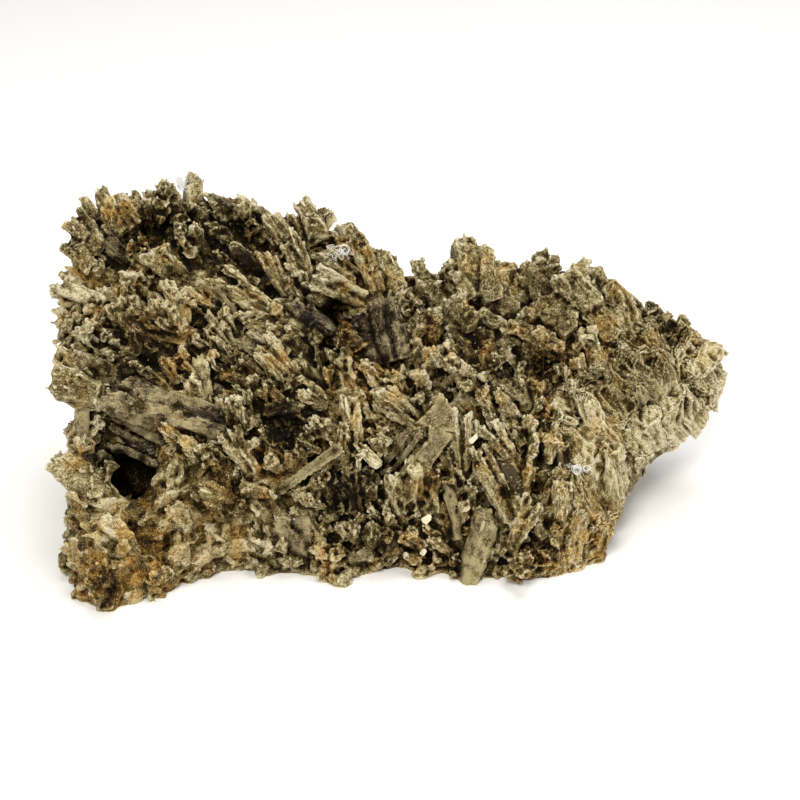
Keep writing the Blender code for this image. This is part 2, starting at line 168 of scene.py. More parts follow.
def closed_faces(rings: int, sides: int) -> Array:
    """Triangles of a body made of rings of points, its sides first and then its two ends.

    Args:
        rings: how many rings it has.
        sides: how many points a ring has.

    Returns:
        Three point numbers for each triangle.
    """
    ring, i = np.divmod(np.arange((rings - 1) * sides), sides)
    low, j = ring * sides, (i + 1) % sides
    high = low + sides
    k, last = np.arange(1, sides - 1), (rings - 1) * sides
    sides_of = (low + i, low + j, high + j), (low + i, high + j, high + i)
    ends = (0 * k, k + 1, k), (0 * k, k, k + 1)
    parts = [np.stack(three, axis=1) for three in sides_of + ends]
    parts[-1] += last
    return np.concatenate(parts)


def repeated(faces: Array, count: int, points: int) -> Array:
    """The faces of one body for each of a number of bodies with as many points."""
    return (faces[None] + np.arange(count)[:, None, None] * points).reshape(-1, 3)


def make_mesh(name: str, points: Array, faces: Array, smooth: bool = False) -> Object:
    """A mesh object from points in mm and faces of one corner count, in metres and at the origin.

    Args:
        name: the object's and the mesh's name.
        points: one row each.
        faces: point numbers, one row each.
        smooth: whether it is shaded smooth.

    Returns:
        The object.
    """
    mesh = bpy.data.meshes.new(name)
    corners = faces.shape[1]
    mesh.vertices.add(len(points))
    mesh.vertices.foreach_set("co", (points * MM).astype(np.float32).ravel())
    mesh.loops.add(faces.size)
    mesh.loops.foreach_set("vertex_index", faces.astype(np.int32).ravel())
    mesh.polygons.add(len(faces))
    mesh.polygons.foreach_set("loop_start", np.arange(0, faces.size, corners, dtype=np.int32))
    mesh.polygons.foreach_set("use_smooth", np.full(len(faces), smooth))
    mesh.update(calc_edges=True)
    mesh.validate()
    obj = bpy.data.objects.new(name, mesh)
    bpy.context.scene.collection.objects.link(obj)
    return obj


def set_attribute(obj: Object, name: str, kind: str, values: Array) -> None:
    """Stores one value for each vertex: kind is FLOAT_COLOR or FLOAT_VECTOR."""
    slot = {"FLOAT_COLOR": "color", "FLOAT_VECTOR": "vector"}[kind]
    layer = obj.data.attributes.new(name, kind, "POINT")
    layer.data.foreach_set(slot, values.astype(np.float32).ravel())


def mesh_arrays(mesh: Mesh) -> tuple[Array, Array, Array]:
    """A mesh's points and vertex normals, and its triangles, as arrays in its own units."""
    points = np.empty(len(mesh.vertices) * 3)
    mesh.vertices.foreach_get("co", points)
    normals = np.empty(len(mesh.vertices) * 3, dtype=np.float32)
    mesh.vertex_normals.foreach_get("vector", normals)
    mesh.calc_loop_triangles()
    triangles = np.empty(len(mesh.loop_triangles) * 3, dtype=np.int32)
    mesh.loop_triangles.foreach_get("vertices", triangles)
    return points.reshape(-1, 3), normals.reshape(-1, 3).astype(float), triangles.reshape(-1, 3)


def connect(node: Node, inputs: tuple | dict) -> None:
    """Sets or links a node's input sockets.

    Args:
        node: the node.
        inputs: values for its first sockets in order, or socket name or number to value. A value that is an
            output socket is linked, and one that is a node is linked by its first output.
    """
    for key, value in inputs.items() if isinstance(inputs, dict) else enumerate(inputs):
        if isinstance(value, Node):
            value = value.outputs[0]
        if isinstance(value, NodeSocket):
            node.id_data.links.new(value, node.inputs[key])
        else:
            node.inputs[key].default_value = value


def add_node(tree: NodeTree, kind: str, inputs: tuple | dict = (), **settings: object) -> Node:
    """Adds a shader node.

    Args:
        tree: the material's node tree.
        kind: the node's type, without the word ShaderNode.
        inputs: what its sockets get, as connect takes it.
        settings: the node's own properties.

    Returns:
        The new node.
    """
    node = tree.nodes.new("ShaderNode" + kind)
    for key, value in settings.items():
        setattr(node, key, value)
    connect(node, inputs)
    return node


def blank_material(name: str) -> tuple[Material, NodeTree, Node]:
    """A new material, its node tree and its shader."""
    material = bpy.data.materials.new(name)
    material.use_nodes = True
    return material, material.node_tree, material.node_tree.nodes["Principled BSDF"]


# Where the photograph's camera stood


@dataclass(frozen=True)
class PhotoView:
    """The camera: a target and a distance in mm, an elevation in degrees, and a lens and a sensor in mm."""

    target: tuple[float, float, float] = (2.18, 0.72, 31.0)
    distance: float = 444.0
    elevation: float = 30.0
    lens: float = 85.0
    sensor: float = 36.0
    pixels: int = 800

    @property
    def forward(self) -> Array:
        """The way the camera looks."""
        angle = math.radians(self.elevation)
        return np.array([0.0, math.cos(angle), -math.sin(angle)])

    @property
    def up(self) -> Array:
        """The way up in the picture."""
        angle = math.radians(self.elevation)
        return np.array([0.0, math.sin(angle), math.cos(angle)])

    @property
    def place(self) -> Array:
        """The camera's place."""
        return np.array(self.target) - self.forward * self.distance

    def ray(self, across: float, down: float) -> Array:
        """The way from the camera through a pixel of the 800 by 800 picture."""
        half = self.pixels / 2
        reach = self.sensor / 2 / self.lens / half
        right = np.array([1.0, 0.0, 0.0])
        way = self.forward + right * (across - half) * reach - self.up * (down - half) * reach
        return way / np.linalg.norm(way)

    def project(self, points: Array) -> Array:
        """The pixels that show points, one row each."""
        offset = points - self.place
        scale = self.pixels * self.lens / self.sensor / (offset @ self.forward)
        half = self.pixels / 2
        return np.stack([half + offset[:, 0] * scale, half - offset @ self.up * scale], axis=1)

    def add_camera(self) -> None:
        """Creates the scene's camera."""
        camera = bpy.data.cameras.new("photo_camera")
        camera.lens = self.lens
        camera.sensor_width = self.sensor
        camera.sensor_fit = "HORIZONTAL"
        camera.clip_end = 10
        obj = bpy.data.objects.new("photo_camera", camera)
        obj.location = Vector(self.place * MM)
        obj.rotation_euler = Vector(self.forward).to_track_quat("-Z", "Y").to_euler()
        bpy.context.scene.collection.objects.link(obj)
        bpy.context.scene.camera = obj


# What differs from place to place over the cluster


@dataclass(frozen=True)
class Spot:
    """A patch of the surface: the photograph's pixel at its middle, its radius in mm, and its strength."""

    pixel: tuple[float, float]
    radius: float
    strength: float = 1.0


def spots(*rows: tuple) -> tuple[Spot, ...]:
    """Spots from rows of pixel across and down, radius and, where it isn't 1, strength."""
    return tuple(Spot(row[:2], *row[2:]) for row in rows)


@dataclass(frozen=True)
class Zones:
    """How blades grow and what stains them, as functions of place.

    lean is the slope along X at places along X. Each of the pairs after the spots is where a zone starts and
    where it is full: a place along X (length), Y (depth) or Z (height) in mm, and for rock_slope how far the
    surface's normal points back. The rust and pale spots stain the crust; the dark spots paint shade over the
    holes between blades.
    """

    lean: tuple = ((-80, -0.85), (-40, -0.75), (0, -0.60), (30, -0.50), (60, -0.42), (84, -0.45))
    rust: tuple = spots(
        (95, 590, 12), (130, 575, 8), (140, 500, 5, 0.8), (170, 500, 5, 0.8), (275, 355, 4, 0.8),
        (150, 330, 5, 0.7), (190, 400, 4, 0.8), (430, 480, 5, 0.6), (560, 440, 4, 0.7), (650, 330, 5, 0.7),
        (360, 420, 6, 0.5), (245, 300, 5, 0.5), (330, 560, 7, 0.6), (420, 560, 8, 0.5), (590, 545, 12, 0.8),
        (545, 575, 9, 0.7), (185, 300, 9, 0.7), (165, 440, 5, 0.9), (300, 470, 5, 0.5), (250, 500, 6, 0.4),
        (140, 400, 3, 0.9), (520, 505, 5, 0.4), (600, 430, 8, 0.4), (210, 505, 6, 0.5), (150, 560, 14, 0.8),
        (110, 560, 12, 0.9), (200, 540, 9, 0.5), (172, 280, 5, 0.9), (215, 480, 7, 0.5),
    )
    pale: tuple = spots(
        (85, 300, 11, 0.6), (105, 520, 7, 0.8), (75, 475, 9, 0.6), (700, 380, 16, 0.8), (650, 430, 14, 1.0),
        (600, 380, 10, 0.6), (210, 545, 9, 0.9), (570, 470, 10, 0.7), (420, 455, 7, 0.4), (60, 385, 6, 0.7),
        (180, 520, 8, 0.8), (700, 420, 14, 1.0), (597, 370, 3, 1.5), (560, 400, 6, 0.5), (300, 330, 6, 0.3),
        (560, 470, 10, 0.4), (500, 470, 7, 0.3),
    )
    # Dark spots: painted shade, a darker tone over the holes between blades.
    dark: tuple = spots(
        (335, 320, 7, 1.0), (380, 330, 8, 0.3), (280, 430, 5, 0.9), (135, 470, 8, 1.0), (160, 230, 7, 0.7),
        (230, 250, 8, 0.5), (220, 420, 5, 0.5), (350, 500, 6, 0.6), (470, 330, 8, 0.4), (540, 365, 5, 0.7),
        (140, 350, 9, 0.5), (380, 545, 7, 0.4),
    )
    pits: tuple = spots(
        (150, 228, 3.5, 4), (190, 215, 1.6, 3), (237, 226, 1.6, 4), (264, 242, 1.3, 3), (268, 290, 1.6, 4),
        (116, 284, 1.5, 4), (170, 350, 1.4, 3), (197, 325, 1.5, 3), (224, 362, 1.8, 4), (334, 314, 3.0, 5),
        (336, 346, 1.8, 3), (385, 345, 2.0, 3), (130, 350, 1.2, 3), (118, 332, 1.2, 3), (106, 378, 1.3, 3),
        (283, 428, 3.0, 6), (247, 508, 1.5, 3), (168, 540, 1.6, 3), (153, 562, 1.1, 3), (128, 524, 1.5, 3),
        (116, 590, 1.5, 2), (135, 474, 5.0, 4), (412, 388, 1.3, 3), (450, 384, 1.6, 3), (470, 362, 1.2, 3),
        (510, 372, 2.0, 3), (540, 368, 2.2, 4), (568, 340, 1.8, 4), (584, 312, 1.5, 3), (548, 300, 1.5, 3),
        (500, 345, 1.3, 3), (540, 460, 1.5, 3), (535, 486, 1.3, 3), (506, 492, 1.4, 4), (475, 464, 1.3, 3),
        (387, 505, 1.4, 3), (350, 520, 1.6, 3), (352, 552, 1.5, 3), (420, 506, 1.2, 3), (446, 502, 1.1, 3),
        (555, 522, 1.5, 2), (612, 350, 1.8, 3), (632, 385, 1.4, 2), (300, 320, 2.0, 3),
    )
    blocky: tuple = spots(
        (395, 285, 7), (425, 275, 6), (470, 262, 10), (505, 270, 9), (545, 265, 9), (590, 285, 9),
        (440, 310, 8), (490, 320, 10), (540, 320, 9), (420, 350, 7), (585, 340, 6, 0.8), (470, 370, 6, 0.8),
        (620, 305, 7), (525, 400, 5, 0.7), (570, 430, 7, 0.6), (590, 545, 10), (75, 480, 7), (95, 520, 9),
        (130, 500, 7), (100, 580, 12), (160, 520, 10), (150, 570, 9), (210, 540, 10), (270, 560, 8),
        (190, 480, 7, 0.8), (230, 490, 6, 0.7), (85, 300, 10), (80, 340, 7, 0.8), (140, 255, 5),
        (100, 210, 6, 0.6), (165, 190, 8, 0.7), (225, 200, 6, 0.6), (180, 290, 5, 0.7), (75, 230, 6, 0.6),
        (150, 430, 4, 0.6), (330, 570, 7, 0.8), (400, 560, 6, 0.7), (500, 560, 8, 0.8), (290, 500, 5, 0.6),
        (355, 330, 4, 0.8),
    )
    front_height: tuple = (36, 22)
    front_depth: tuple = (-2, -10)
    back_depth: tuple = (22, 32)
    end_length: tuple = (32, 44)
    end_height: tuple = (44, 38)
    end_depth: tuple = (26, 14)
    tip_length: tuple = (48, 56)
    platy_length: tuple = (-12, -28)
    platy_height: tuple = (32, 22)
    rock_height: tuple = (52, 36)
    rock_slope: tuple = (0.35, 0.7)

    def growth(self, points: Array) -> Array:
        """The way blades grow: up and leaning to the left, fanned on the front, backwards on the back.

        The slope along X follows the lean curve, and is cut and fanned by noise on the lower front.
        """
        x, y, z = points.T
        front = ramp(z, *self.front_height) * ramp(y, *self.front_depth)
        back = ramp(y, *self.back_depth)
        lean = np.interp(x, *zip(*self.lean)) * (1 - 0.75 * front)
        lean = lean + 0.45 * front * lattice_noise(points, 16, 3) + 0.45 * lattice_noise(points, 7, 4)
        outward = -0.12 - 0.10 * front + 0.7 * back + 0.4 * lattice_noise(points, 7, 5)
        return unit(np.stack([lean, outward, np.ones(len(points))], axis=1))

    def lamellar(self, points: Array) -> Array:
        """1 on the right-hand end, where blades are fine ridges that lie along the surface, 0 elsewhere."""
        x, y, z = points.T
        front = ramp(z, *self.end_height) * ramp(y, *self.end_depth)
        return ramp(x, *self.end_length) * np.maximum(front, ramp(x, *self.tip_length))

    def platy(self, points: Array) -> Array:
        """1 on the lower left, where lumps are wide and flat, 0 elsewhere."""
        return ramp(points[:, 0], *self.platy_length) * ramp(points[:, 2], *self.platy_height)

    def bare_rock(self, points: Array, normals: Array) -> Array:
        """0.6 on the lower back, where the cluster broke from its rock, 0 elsewhere."""
        return 0.6 * ramp(normals[:, 1], *self.rock_slope) * ramp(points[:, 2], *self.rock_height)


@dataclass
class Surroundings:
    """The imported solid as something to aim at, with its zones' spots set on its surface."""

    view: PhotoView
    zones: Zones
    node: Object
    tree: BVHTree = field(init=False)
    lowest: Array = field(init=False)
    highest: Array = field(init=False)
    centres: dict = field(init=False)

    def __post_init__(self) -> None:
        """Reads the node's triangles and finds every spot's place on them."""
        points, _, triangles = mesh_arrays(self.node.data)
        points = points / MM
        self.tree = BVHTree.FromPolygons(points.tolist(), triangles.tolist())
        self.lowest, self.highest = points.min(axis=0), points.max(axis=0)
        self.centres = {
            name: [(self.seen(*spot.pixel), spot.radius, spot.strength) for spot in getattr(self.zones, name)]
            for name in ("rust", "pale", "dark", "pits", "blocky")
        }

    def hit(self, across: float, down: float) -> Array | None:
        """The place on the solid that a pixel shows, or None if it shows the floor."""
        found = self.tree.ray_cast(Vector(self.view.place), Vector(self.view.ray(across, down)))[0]
        return None if found is None else np.array(found)

    def seen(self, across: float, down: float) -> Array:
        """The place on the solid that a pixel shows, or the nearest place to its ray if it misses.

        Args:
            across: the pixel's column.
            down: the pixel's row.

        Returns:
            The place in mm.
        """
        place = self.hit(across, down)
        if place is None:
            middle = self.view.place + self.view.ray(across, down) * (self.view.distance - 20)
            place = np.array(self.tree.find_nearest(Vector(middle))[0])
        return place

    def way_out(self, start: Array, way: Array) -> float:
        """How far from a point inside to the solid's surface along a way, or 0 if there is none."""
        distance = self.tree.ray_cast(Vector(start), Vector(way))[3]
        return 0.0 if distance is None else distance

    def amount(self, name: str, points: Array) -> Array:
        """How strong a kind of spot is at each point: the greatest of strength * exp(-(d / radius)^2).

        Args:
            name: the kind of spot.
            points: places in mm, one row each.

        Returns:
            One value for each row.
        """
        total = np.zeros(len(points))
        for centre, radius, strength in self.centres[name]:
            distance = np.linalg.norm(points - centre, axis=1)
            total = np.maximum(total, strength * np.exp(-(distance / radius) ** 2))
        return total

    def blocky(self, points: Array) -> Array:
        """1 where lumps and sugary crust take the place of lamellae, also along the foot, and 0 elsewhere."""
        return np.maximum(np.minimum(1.4 * self.amount("blocky", points), 1), ramp(points[:, 2], 6, 2))

    def calm(self, points: Array) -> Array:
        """1 where the crust is closed and low, on the lower left and in the pale spots, 0 elsewhere."""
        return np.maximum(self.zones.platy(points), np.minimum(self.amount("pale", points), 1))


# Finishes


@dataclass(frozen=True)
class CrustFinish:
    """Epidote under its crust: ribbed olive-brown prisms, most of them coated with fine khaki grains.

    The ribs are 0.4 mm apart and wander a little, the grains are 0.32 mm across and the specks 0.22 mm.
    The crust is dry and matt. The tone it reads is pale where it stands out, a painted highlight, and brown
    to black where it lies back, painted shade. Bare patches are glassy. vein_tone, roughness and specular
    give a value on the crust and on glass, cloud_tone the tone of the darkest and the palest cloud, and
    glitter the cell values where glitter starts and is full, and how bare a cell is there.
    """

    name: str = "epidote_crust"
    deep: str = "#060302"
    brown: str = "#21170a"
    olive: str = "#43391d"
    khaki: str = "#6d603e"
    sand: str = "#9c9068"
    cream: str = "#d2c9ab"
    rust: str = "#50330e"
    ochre: str = "#9b702c"
    straw: str = "#c4a55f"
    grey: str = "#6b6046"
    sheen: str = "#f0dfb8"
    rib_spacing: float = 0.4
    grain_size: float = 0.32
    speck_size: float = 0.22
    patch_size: float = 3.0
    vein_tone: tuple = (0.7, 0.2)
    cloud_tone: tuple = (0.05, 0.35)
    speck_contrast: float = 0.18
    mean_tone: float = -0.95
    glitter: tuple = (0.88, 0.92, 0.0, 0.6)
    roughness: tuple = (0.7, 0.18)
    specular: tuple = (0.15, 0.5)
    grain_height: float = 0.2
    dome_height: float = 0.1
    rib_height: float = 0.12
    glass_relief: float = 0.15

    def make(self) -> Material:
        """Builds the material.

        It reads the attributes look, which is tone, glass and rust, and local, which is rib coordinates.
        """
        material, tree, shader = blank_material(self.name)
        look = add_node(tree, "Attribute", attribute_name="look")
        look = add_node(tree, "SeparateColor", (look,))
        local = add_node(tree, "Attribute", attribute_name="local").outputs["Vector"]
        place = add_node(tree, "TexCoord").outputs["Object"]
        grain_scale = 1 / (self.grain_size * MM)
        ribs = add_node(tree, "TexNoise", {
            "Vector": local, "Scale": 1.0, "Detail": 3.0, "Roughness": 0.6, "Distortion": 0.5})
        sugar = add_node(tree, "TexNoise", {
            "Vector": place, "Scale": grain_scale, "Detail": 3.0, "Roughness": 0.7})
        patches = add_node(tree, "TexNoise", {
            "Vector": place, "Scale": 1 / (self.patch_size * MM), "Detail": 2.0})
        cells = add_node(tree, "TexVoronoi", {"Vector": place, "Scale": grain_scale})
        specks = add_node(tree, "TexVoronoi", {"Vector": place, "Scale": 1 / (self.speck_size * MM)})
        speck_tone = add_node(tree, "SeparateColor", (specks.outputs["Color"],))
        cell_tone = add_node(tree, "SeparateColor", (cells.outputs["Color"],))

        # How pale a place is: the tone of its point, then its grains and its ribs. Glass is cloudy.
        both = {"operation": "MULTIPLY_ADD"}
        tone = add_node(tree, "Math", (sugar, 1.0, self.mean_tone), **both)
        tone = add_node(tree, "Math", (speck_tone, self.speck_contrast, tone), **both)
        veined = add_node(tree, "MapRange", (look.outputs[1], 0.0, 1.0, *self.vein_tone))
        tone = add_node(tree, "Math", (ribs, veined, tone), **both)
        tone = add_node(tree, "Math", (look, tone), operation="ADD")
        clouds = add_node(tree, "MapRange", (patches, 0.3, 0.7, *self.cloud_tone))
        tone = add_node(tree, "Math", (look.outputs[1], clouds, tone), use_clamp=True, **both)
        ramps = []
        for stops in (((0.10, self.deep), (0.25, self.brown), (0.40, self.olive), (0.54, self.khaki),
                       (0.70, self.sand), (0.92, self.cream)),
                      ((0.10, self.deep), (0.28, self.rust), (0.52, self.ochre), (0.82, self.straw)),
                      ((0.10, self.deep), (0.34, self.brown), (0.58, self.grey), (0.9, self.sand))):
            node = add_node(tree, "ValToRGB", (tone,))
            elements = node.color_ramp.elements
            elements[0].position, elements[1].position = stops[0][0], stops[-1][0]
            elements[0].color, elements[1].color = linear(stops[0][1]), linear(stops[-1][1])
            for where, colour in stops[1:-1]:
                elements.new(where).color = linear(colour)
            ramps.append(node)

        # Iron stain and bare glass show in patches, and single cells glitter.
        patched = add_node(tree, "MapRange", (patches, 0.36, 0.6))
        rusty = add_node(tree, "Math", (look.outputs[2], patched), operation="MULTIPLY")
        colour = add_node(tree, "Mix", {0: rusty, 6: ramps[0], 7: ramps[1]}, data_type="RGBA")
        bared = add_node(tree, "Math", (look.outputs[1], patched), operation="MULTIPLY")
        glitter = add_node(tree, "MapRange", (cell_tone, *self.glitter))
        bared = add_node(tree, "Math", (bared, glitter), operation="MAXIMUM")
        colour = add_node(tree, "Mix", {0: bared, 6: colour.outputs[2], 7: ramps[2]}, data_type="RGBA")
        roughness = add_node(tree, "MapRange", (bared, 0.1, 0.5, *self.roughness))
        shine = add_node(tree, "MapRange", (bared, 0.05, 0.5, *self.specular))

        # Heights in mm: each grain is a dome, and the ribs are ridges. Glass has little of the grains.
        height = add_node(tree, "Math", (sugar, self.grain_height), operation="MULTIPLY")
        height = add_node(tree, "Math", (cells, -self.dome_height, height), **both)
        coated = add_node(tree, "MapRange", (bared, 0.1, 0.8, 1.0, self.glass_relief))
        height = add_node(tree, "Math", (height, coated), operation="MULTIPLY")
        height = add_node(tree, "Math", (ribs, self.rib_height, height), **both)
        bump = add_node(tree, "Bump", {"Strength": 1.0, "Distance": MM, "Height": height})
        connect(shader, {"Base Color": colour.outputs[2], "Roughness": roughness, "Specular IOR Level": shine,
                         "Specular Tint": linear(self.sheen), "Normal": bump})
        return material


@dataclass(frozen=True)
class BareFinish:
    """Bare epidote, glassy, ribbed lengthwise and clouded in patches: a dark prism or a pale chip."""

    name: str
    deep: str
    middle: str
    light: str
    cloud: str
    smooth: float
    dull: float
    cloud_size: float = 1.5
    ior: float = 1.55

    def make(self) -> Material:
        """Builds the material. It reads the attributes look (tone) and local (rib coordinates)."""
        material, tree, shader = blank_material(self.name)
        look = add_node(tree, "Attribute", attribute_name="look")
        look = add_node(tree, "SeparateColor", (look,))
        local = add_node(tree, "Attribute", attribute_name="local").outputs["Vector"]
        place = add_node(tree, "TexCoord").outputs["Object"]
        ribs = add_node(tree, "TexNoise", {"Vector": local, "Scale": 1.0, "Detail": 2.0})
        cloud = add_node(tree, "TexNoise", {
            "Vector": place, "Scale": 1 / (self.cloud_size * MM), "Detail": 4.0, "Roughness": 0.65})
        tone = add_node(tree, "Math", (ribs, 0.6, -0.3), operation="MULTIPLY_ADD")
        tone = add_node(tree, "Math", (look, tone), operation="ADD")
        stops = add_node(tree, "ValToRGB", (tone,))
        elements = stops.color_ramp.elements
        elements[0].position, elements[1].position = 0.2, 0.85
        elements[0].color, elements[1].color = linear(self.deep), linear(self.light)
        elements.new(0.5).color = linear(self.middle)
        clouded = add_node(tree, "MapRange", (cloud, 0.45, 0.7, 0.0, 0.7))
        colour = add_node(tree, "Mix", {0: clouded, 6: stops, 7: linear(self.cloud)}, data_type="RGBA")
        roughness = add_node(tree, "MapRange", (cloud, 0.4, 0.7, self.smooth, self.dull))
        height = add_node(tree, "Math", (cloud, 0.6, ribs), operation="MULTIPLY_ADD")
        bump = add_node(tree, "Bump", {"Strength": 0.8, "Distance": 0.1 * MM, "Height": height})
        connect(shader, {"Base Color": colour.outputs[2], "Roughness": roughness, "IOR": self.ior,
                         "Specular Tint": linear(CrustFinish.sheen), "Normal": bump})
        return material


GLASSY = BareFinish("glassy_epidote", "#040301", "#191208", "#463b22", "#2d2719", 0.15, 0.45)
CREAM_CHIP = BareFinish("cream_chip", "#7d704d", "#b9ac88", "#ddd2b2", "#e8dfc6", 0.4, 0.6)


@dataclass(frozen=True)
class FibreFinish:
    """White mineral fibre, silky."""

    name: str = "white_fibre"
    white: str = "#ffffff"
    grey: str = "#e8e6df"
    cloud_size: float = 1.5

    def make(self) -> Material:
        """Builds the material."""
        material, tree, shader = blank_material(self.name)
        place = add_node(tree, "TexCoord").outputs["Object"]
        cloud = add_node(tree, "TexNoise", {"Vector": place, "Scale": 1 / (self.cloud_size * MM)})
        tints = {6: linear(self.grey), 7: linear(self.white)}
        colour = add_node(tree, "Mix", {0: cloud, **tints}, data_type="RGBA")
        connect(shader, {"Base Color": colour.outputs[2], "Roughness": 0.5, "Sheen Weight": 0.3})
        return material


# The rock that carries the blades


def averaged(values: Array, edges: Array, times: int) -> Array:
    """Each vertex's values blended half and half with its neighbours' mean, a number of times over.

    Args:
        values: one row for each vertex.
        edges: the two vertices of every edge.
        times: how many times over.

    Returns:
        The blended rows.
    """
    count = np.bincount(edges.ravel(), minlength=len(values))[:, None]
    for _ in range(times):
        total = np.zeros_like(values)
        for axis in range(values.shape[1]):
            total[:, axis] = np.bincount(edges[:, 0], values[edges[:, 1], axis], len(values))
            total[:, axis] += np.bincount(edges[:, 1], values[edges[:, 0], axis], len(values))
        values = 0.5 * values + 0.5 * total / np.maximum(count, 1)
    return values


def edge_ends(mesh: Mesh) -> Array:
    """The two vertices of every edge."""
    ends = np.empty(len(mesh.edges) * 2, dtype=np.int32)
    mesh.edges.foreach_get("vertices", ends)
    return ends.reshape(-1, 2)


def main_body(count: int, edges: Array) -> Array:
    """A mask of the vertices that hang together with the most others.

    Each vertex takes the least number among its neighbours' and its own, again and again until none changes.

    Args:
        count: how many vertices there are.
        edges: the two vertices of each edge.

    Returns:
        True for each vertex of the largest body.
    """
    label = np.arange(count)
    while True:
        least = np.minimum(label[edges[:, 0]], label[edges[:, 1]])
        fresh = label.copy()
        np.minimum.at(fresh, edges[:, 0], least)
        np.minimum.at(fresh, edges[:, 1], least)
        fresh = fresh[fresh]
        if np.array_equal(fresh, label):
            return label == np.bincount(label).argmax()
        label = fresh


def remeshed(source: Mesh, voxel: float) -> Mesh:
    """A mesh of even faces round a copy of another, whose overlapping bodies become one.

    Args:
        source: the mesh, in metres.
        voxel: the size of the new faces in mm.

    Returns:
        The new mesh.
    """
    copy = bpy.data.objects.new("even_copy", source.copy())
    bpy.context.scene.collection.objects.link(copy)
    weld = copy.modifiers.new("weld", "WELD")
    weld.merge_threshold = 1e-6
    even = copy.modifiers.new("even", "REMESH")
    even.mode = "VOXEL"
    even.voxel_size = voxel * MM
    mesh = bpy.data.meshes.new_from_object(copy.evaluated_get(bpy.context.evaluated_depsgraph_get()))
    bpy.data.objects.remove(copy)
    return mesh


@dataclass
class Core:
    """The rock under the blades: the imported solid, evened out and sunk where blades grow on it."""

    surroundings: Surroundings
    voxel: float = 1.1
    sink: float = 3.2
    pit_depth: float = 1.8
    smoothing: int = 8
    end_rise: float = 0.8
    calm_rise: float = 0.7
    level_height: tuple = (2.0, 9.0)
    rest_height: float = 0.3
    points: Array = field(init=False)
    normals: Array = field(init=False)
    triangles: Array = field(init=False)

    def build(self) -> None:
        """Sinks the evened solid along its smoothed normals and roughens it.

        A point moves in by sink * (1 - bare rock), less at the right-hand end, where the crust is calm and
        where it faces down, and further in its pits. Layered noise then moves it out or in. Near the ground
        it moves sideways alone, and the flat rest stays flat.
        """
        mesh = remeshed(self.surroundings.node.data, self.voxel)
        points, normals, self.triangles = mesh_arrays(mesh)
        points = points / MM
        edges = edge_ends(mesh)
        smooth_points = averaged(points, edges, self.smoothing)
        smooth_normals = unit(averaged(normals, edges, 3 * self.smoothing))
        zones = self.surroundings.zones
        bare = zones.bare_rock(points, smooth_normals)
        calm = self.surroundings.calm(points)
        thin = 1 - np.maximum(self.end_rise * zones.lamellar(points), self.calm_rise * calm)
        inward = smooth_normals.copy()
        inward[:, 2] *= ramp(points[:, 2], *self.level_height)
        sideways = np.linalg.norm(inward, axis=1)
        resting = points[:, 2] < self.rest_height
        inward = unit(np.where(sideways[:, None] < 0.1, smooth_normals, inward))
        depth = self.sink * (1 - bare) * thin * np.where(resting & (sideways < 0.45), 0.0, 1.0)
        depth *= 1 - 0.8 * ramp(smooth_normals[:, 2], -0.2, -0.7)
        depth += self.pit_depth * self.surroundings.amount("pits", smooth_points) * (points[:, 2] > 1)
        moved = np.where(bare[:, None] > 0.5, points, smooth_points) - inward * depth[:, None]
        lumps = 0.9 * layered_noise(moved, 6.0, 11) + 0.5 * layered_noise(moved, 2.2, 21)
        lumps = lumps * (0.2 + 0.8 * thin)
        moved += inward * (lumps * np.where(resting, 0.0, 1.0))[:, None]
        moved[:, 2] = np.where(resting, 0.0, np.maximum(moved[:, 2], 0.0))
        self.points, self.normals = moved, smooth_normals


# Blades


@dataclass(frozen=True)
class Cut:
    """How a kind of blade is made.

    sides is the corners of its section and stations the heights of its rings from 0 to 1; swell_low and
    swell_high are the ranges that each ring's size is drawn from. ribs is how far whole columns of points
    stand out or in and grit how far single points do, both in mm; ragged is how far the tip's corners differ
    in height, as a share of the width; squareness shapes the section, from 1 for an ellipse towards 0 for a
    box; wobble is how far rings are off the axis, as a share of the width.
    """

    sides: int
    stations: tuple
    swell_low: tuple
    swell_high: tuple
    ribs: float = 0.0
    grit: float = 0.0
    ragged: float = 0.0
    squareness: float = 0.7
    wobble: float = 0.035

    @property
    def rings(self) -> int:
        """How many rings of points a blade has."""
        return len(self.stations)

    def section(self) -> Array:
        """The section's corners: a slightly skewed ellipse, its sine and cosine raised to squareness."""
        angle = (np.arange(self.sides) + 0.3) * 2 * math.pi / self.sides
        c, d = np.cos(angle), np.sin(angle)
        c = 0.5 * np.sign(c) * np.abs(c) ** self.squareness
        d = 0.5 * np.sign(d) * np.abs(d) ** self.squareness
        return np.stack([c + 0.2 * d, d], axis=1)

    def faces(self, count: int) -> Array:
        """Triangles of one blade, its sides and both ends, repeated for a number of blades."""
        return repeated(closed_faces(self.rings, self.sides), count, self.sides * self.rings)


STUB = Cut(8, (0.0, 0.35, 0.7, 0.9, 1.0), (0.80, 0.80, 0.85, 0.80, 0.55), (1.00, 1.20, 1.30, 1.25, 0.90),
           ribs=0.14, grit=0.2, ragged=0.2, wobble=0.07)
KNOB = Cut(8, (0.0, 0.15, 0.5, 0.9, 1.0), (0.50, 0.85, 0.90, 0.80, 0.50), (0.85, 1.10, 1.20, 1.10, 0.90),
           ribs=0.15, grit=0.25, ragged=0.4, squareness=0.45, wobble=0.06)
CHIP = Cut(6, (0.0, 0.15, 0.8, 1.0), (0.5, 0.8, 0.7, 0.3), (0.9, 1.2, 1.1, 0.7), grit=0.2, ragged=0.5)
BARE = Cut(7, (0.0, 0.3, 0.6, 0.85, 1.0), (0.8, 0.9, 0.9, 0.9, 0.4), (0.9, 1.0, 1.0, 1.0, 0.8), ribs=0.04,
           grit=0.02, ragged=0.25, squareness=0.8)
LARGE = Cut(18, tuple(i / 9 for i in range(10)), (0.96,) * 9 + (0.75,), (1.0,) * 9 + (0.85,), ribs=0.16,
            grit=0.03, ragged=0.15, squareness=0.55, wobble=0.008)
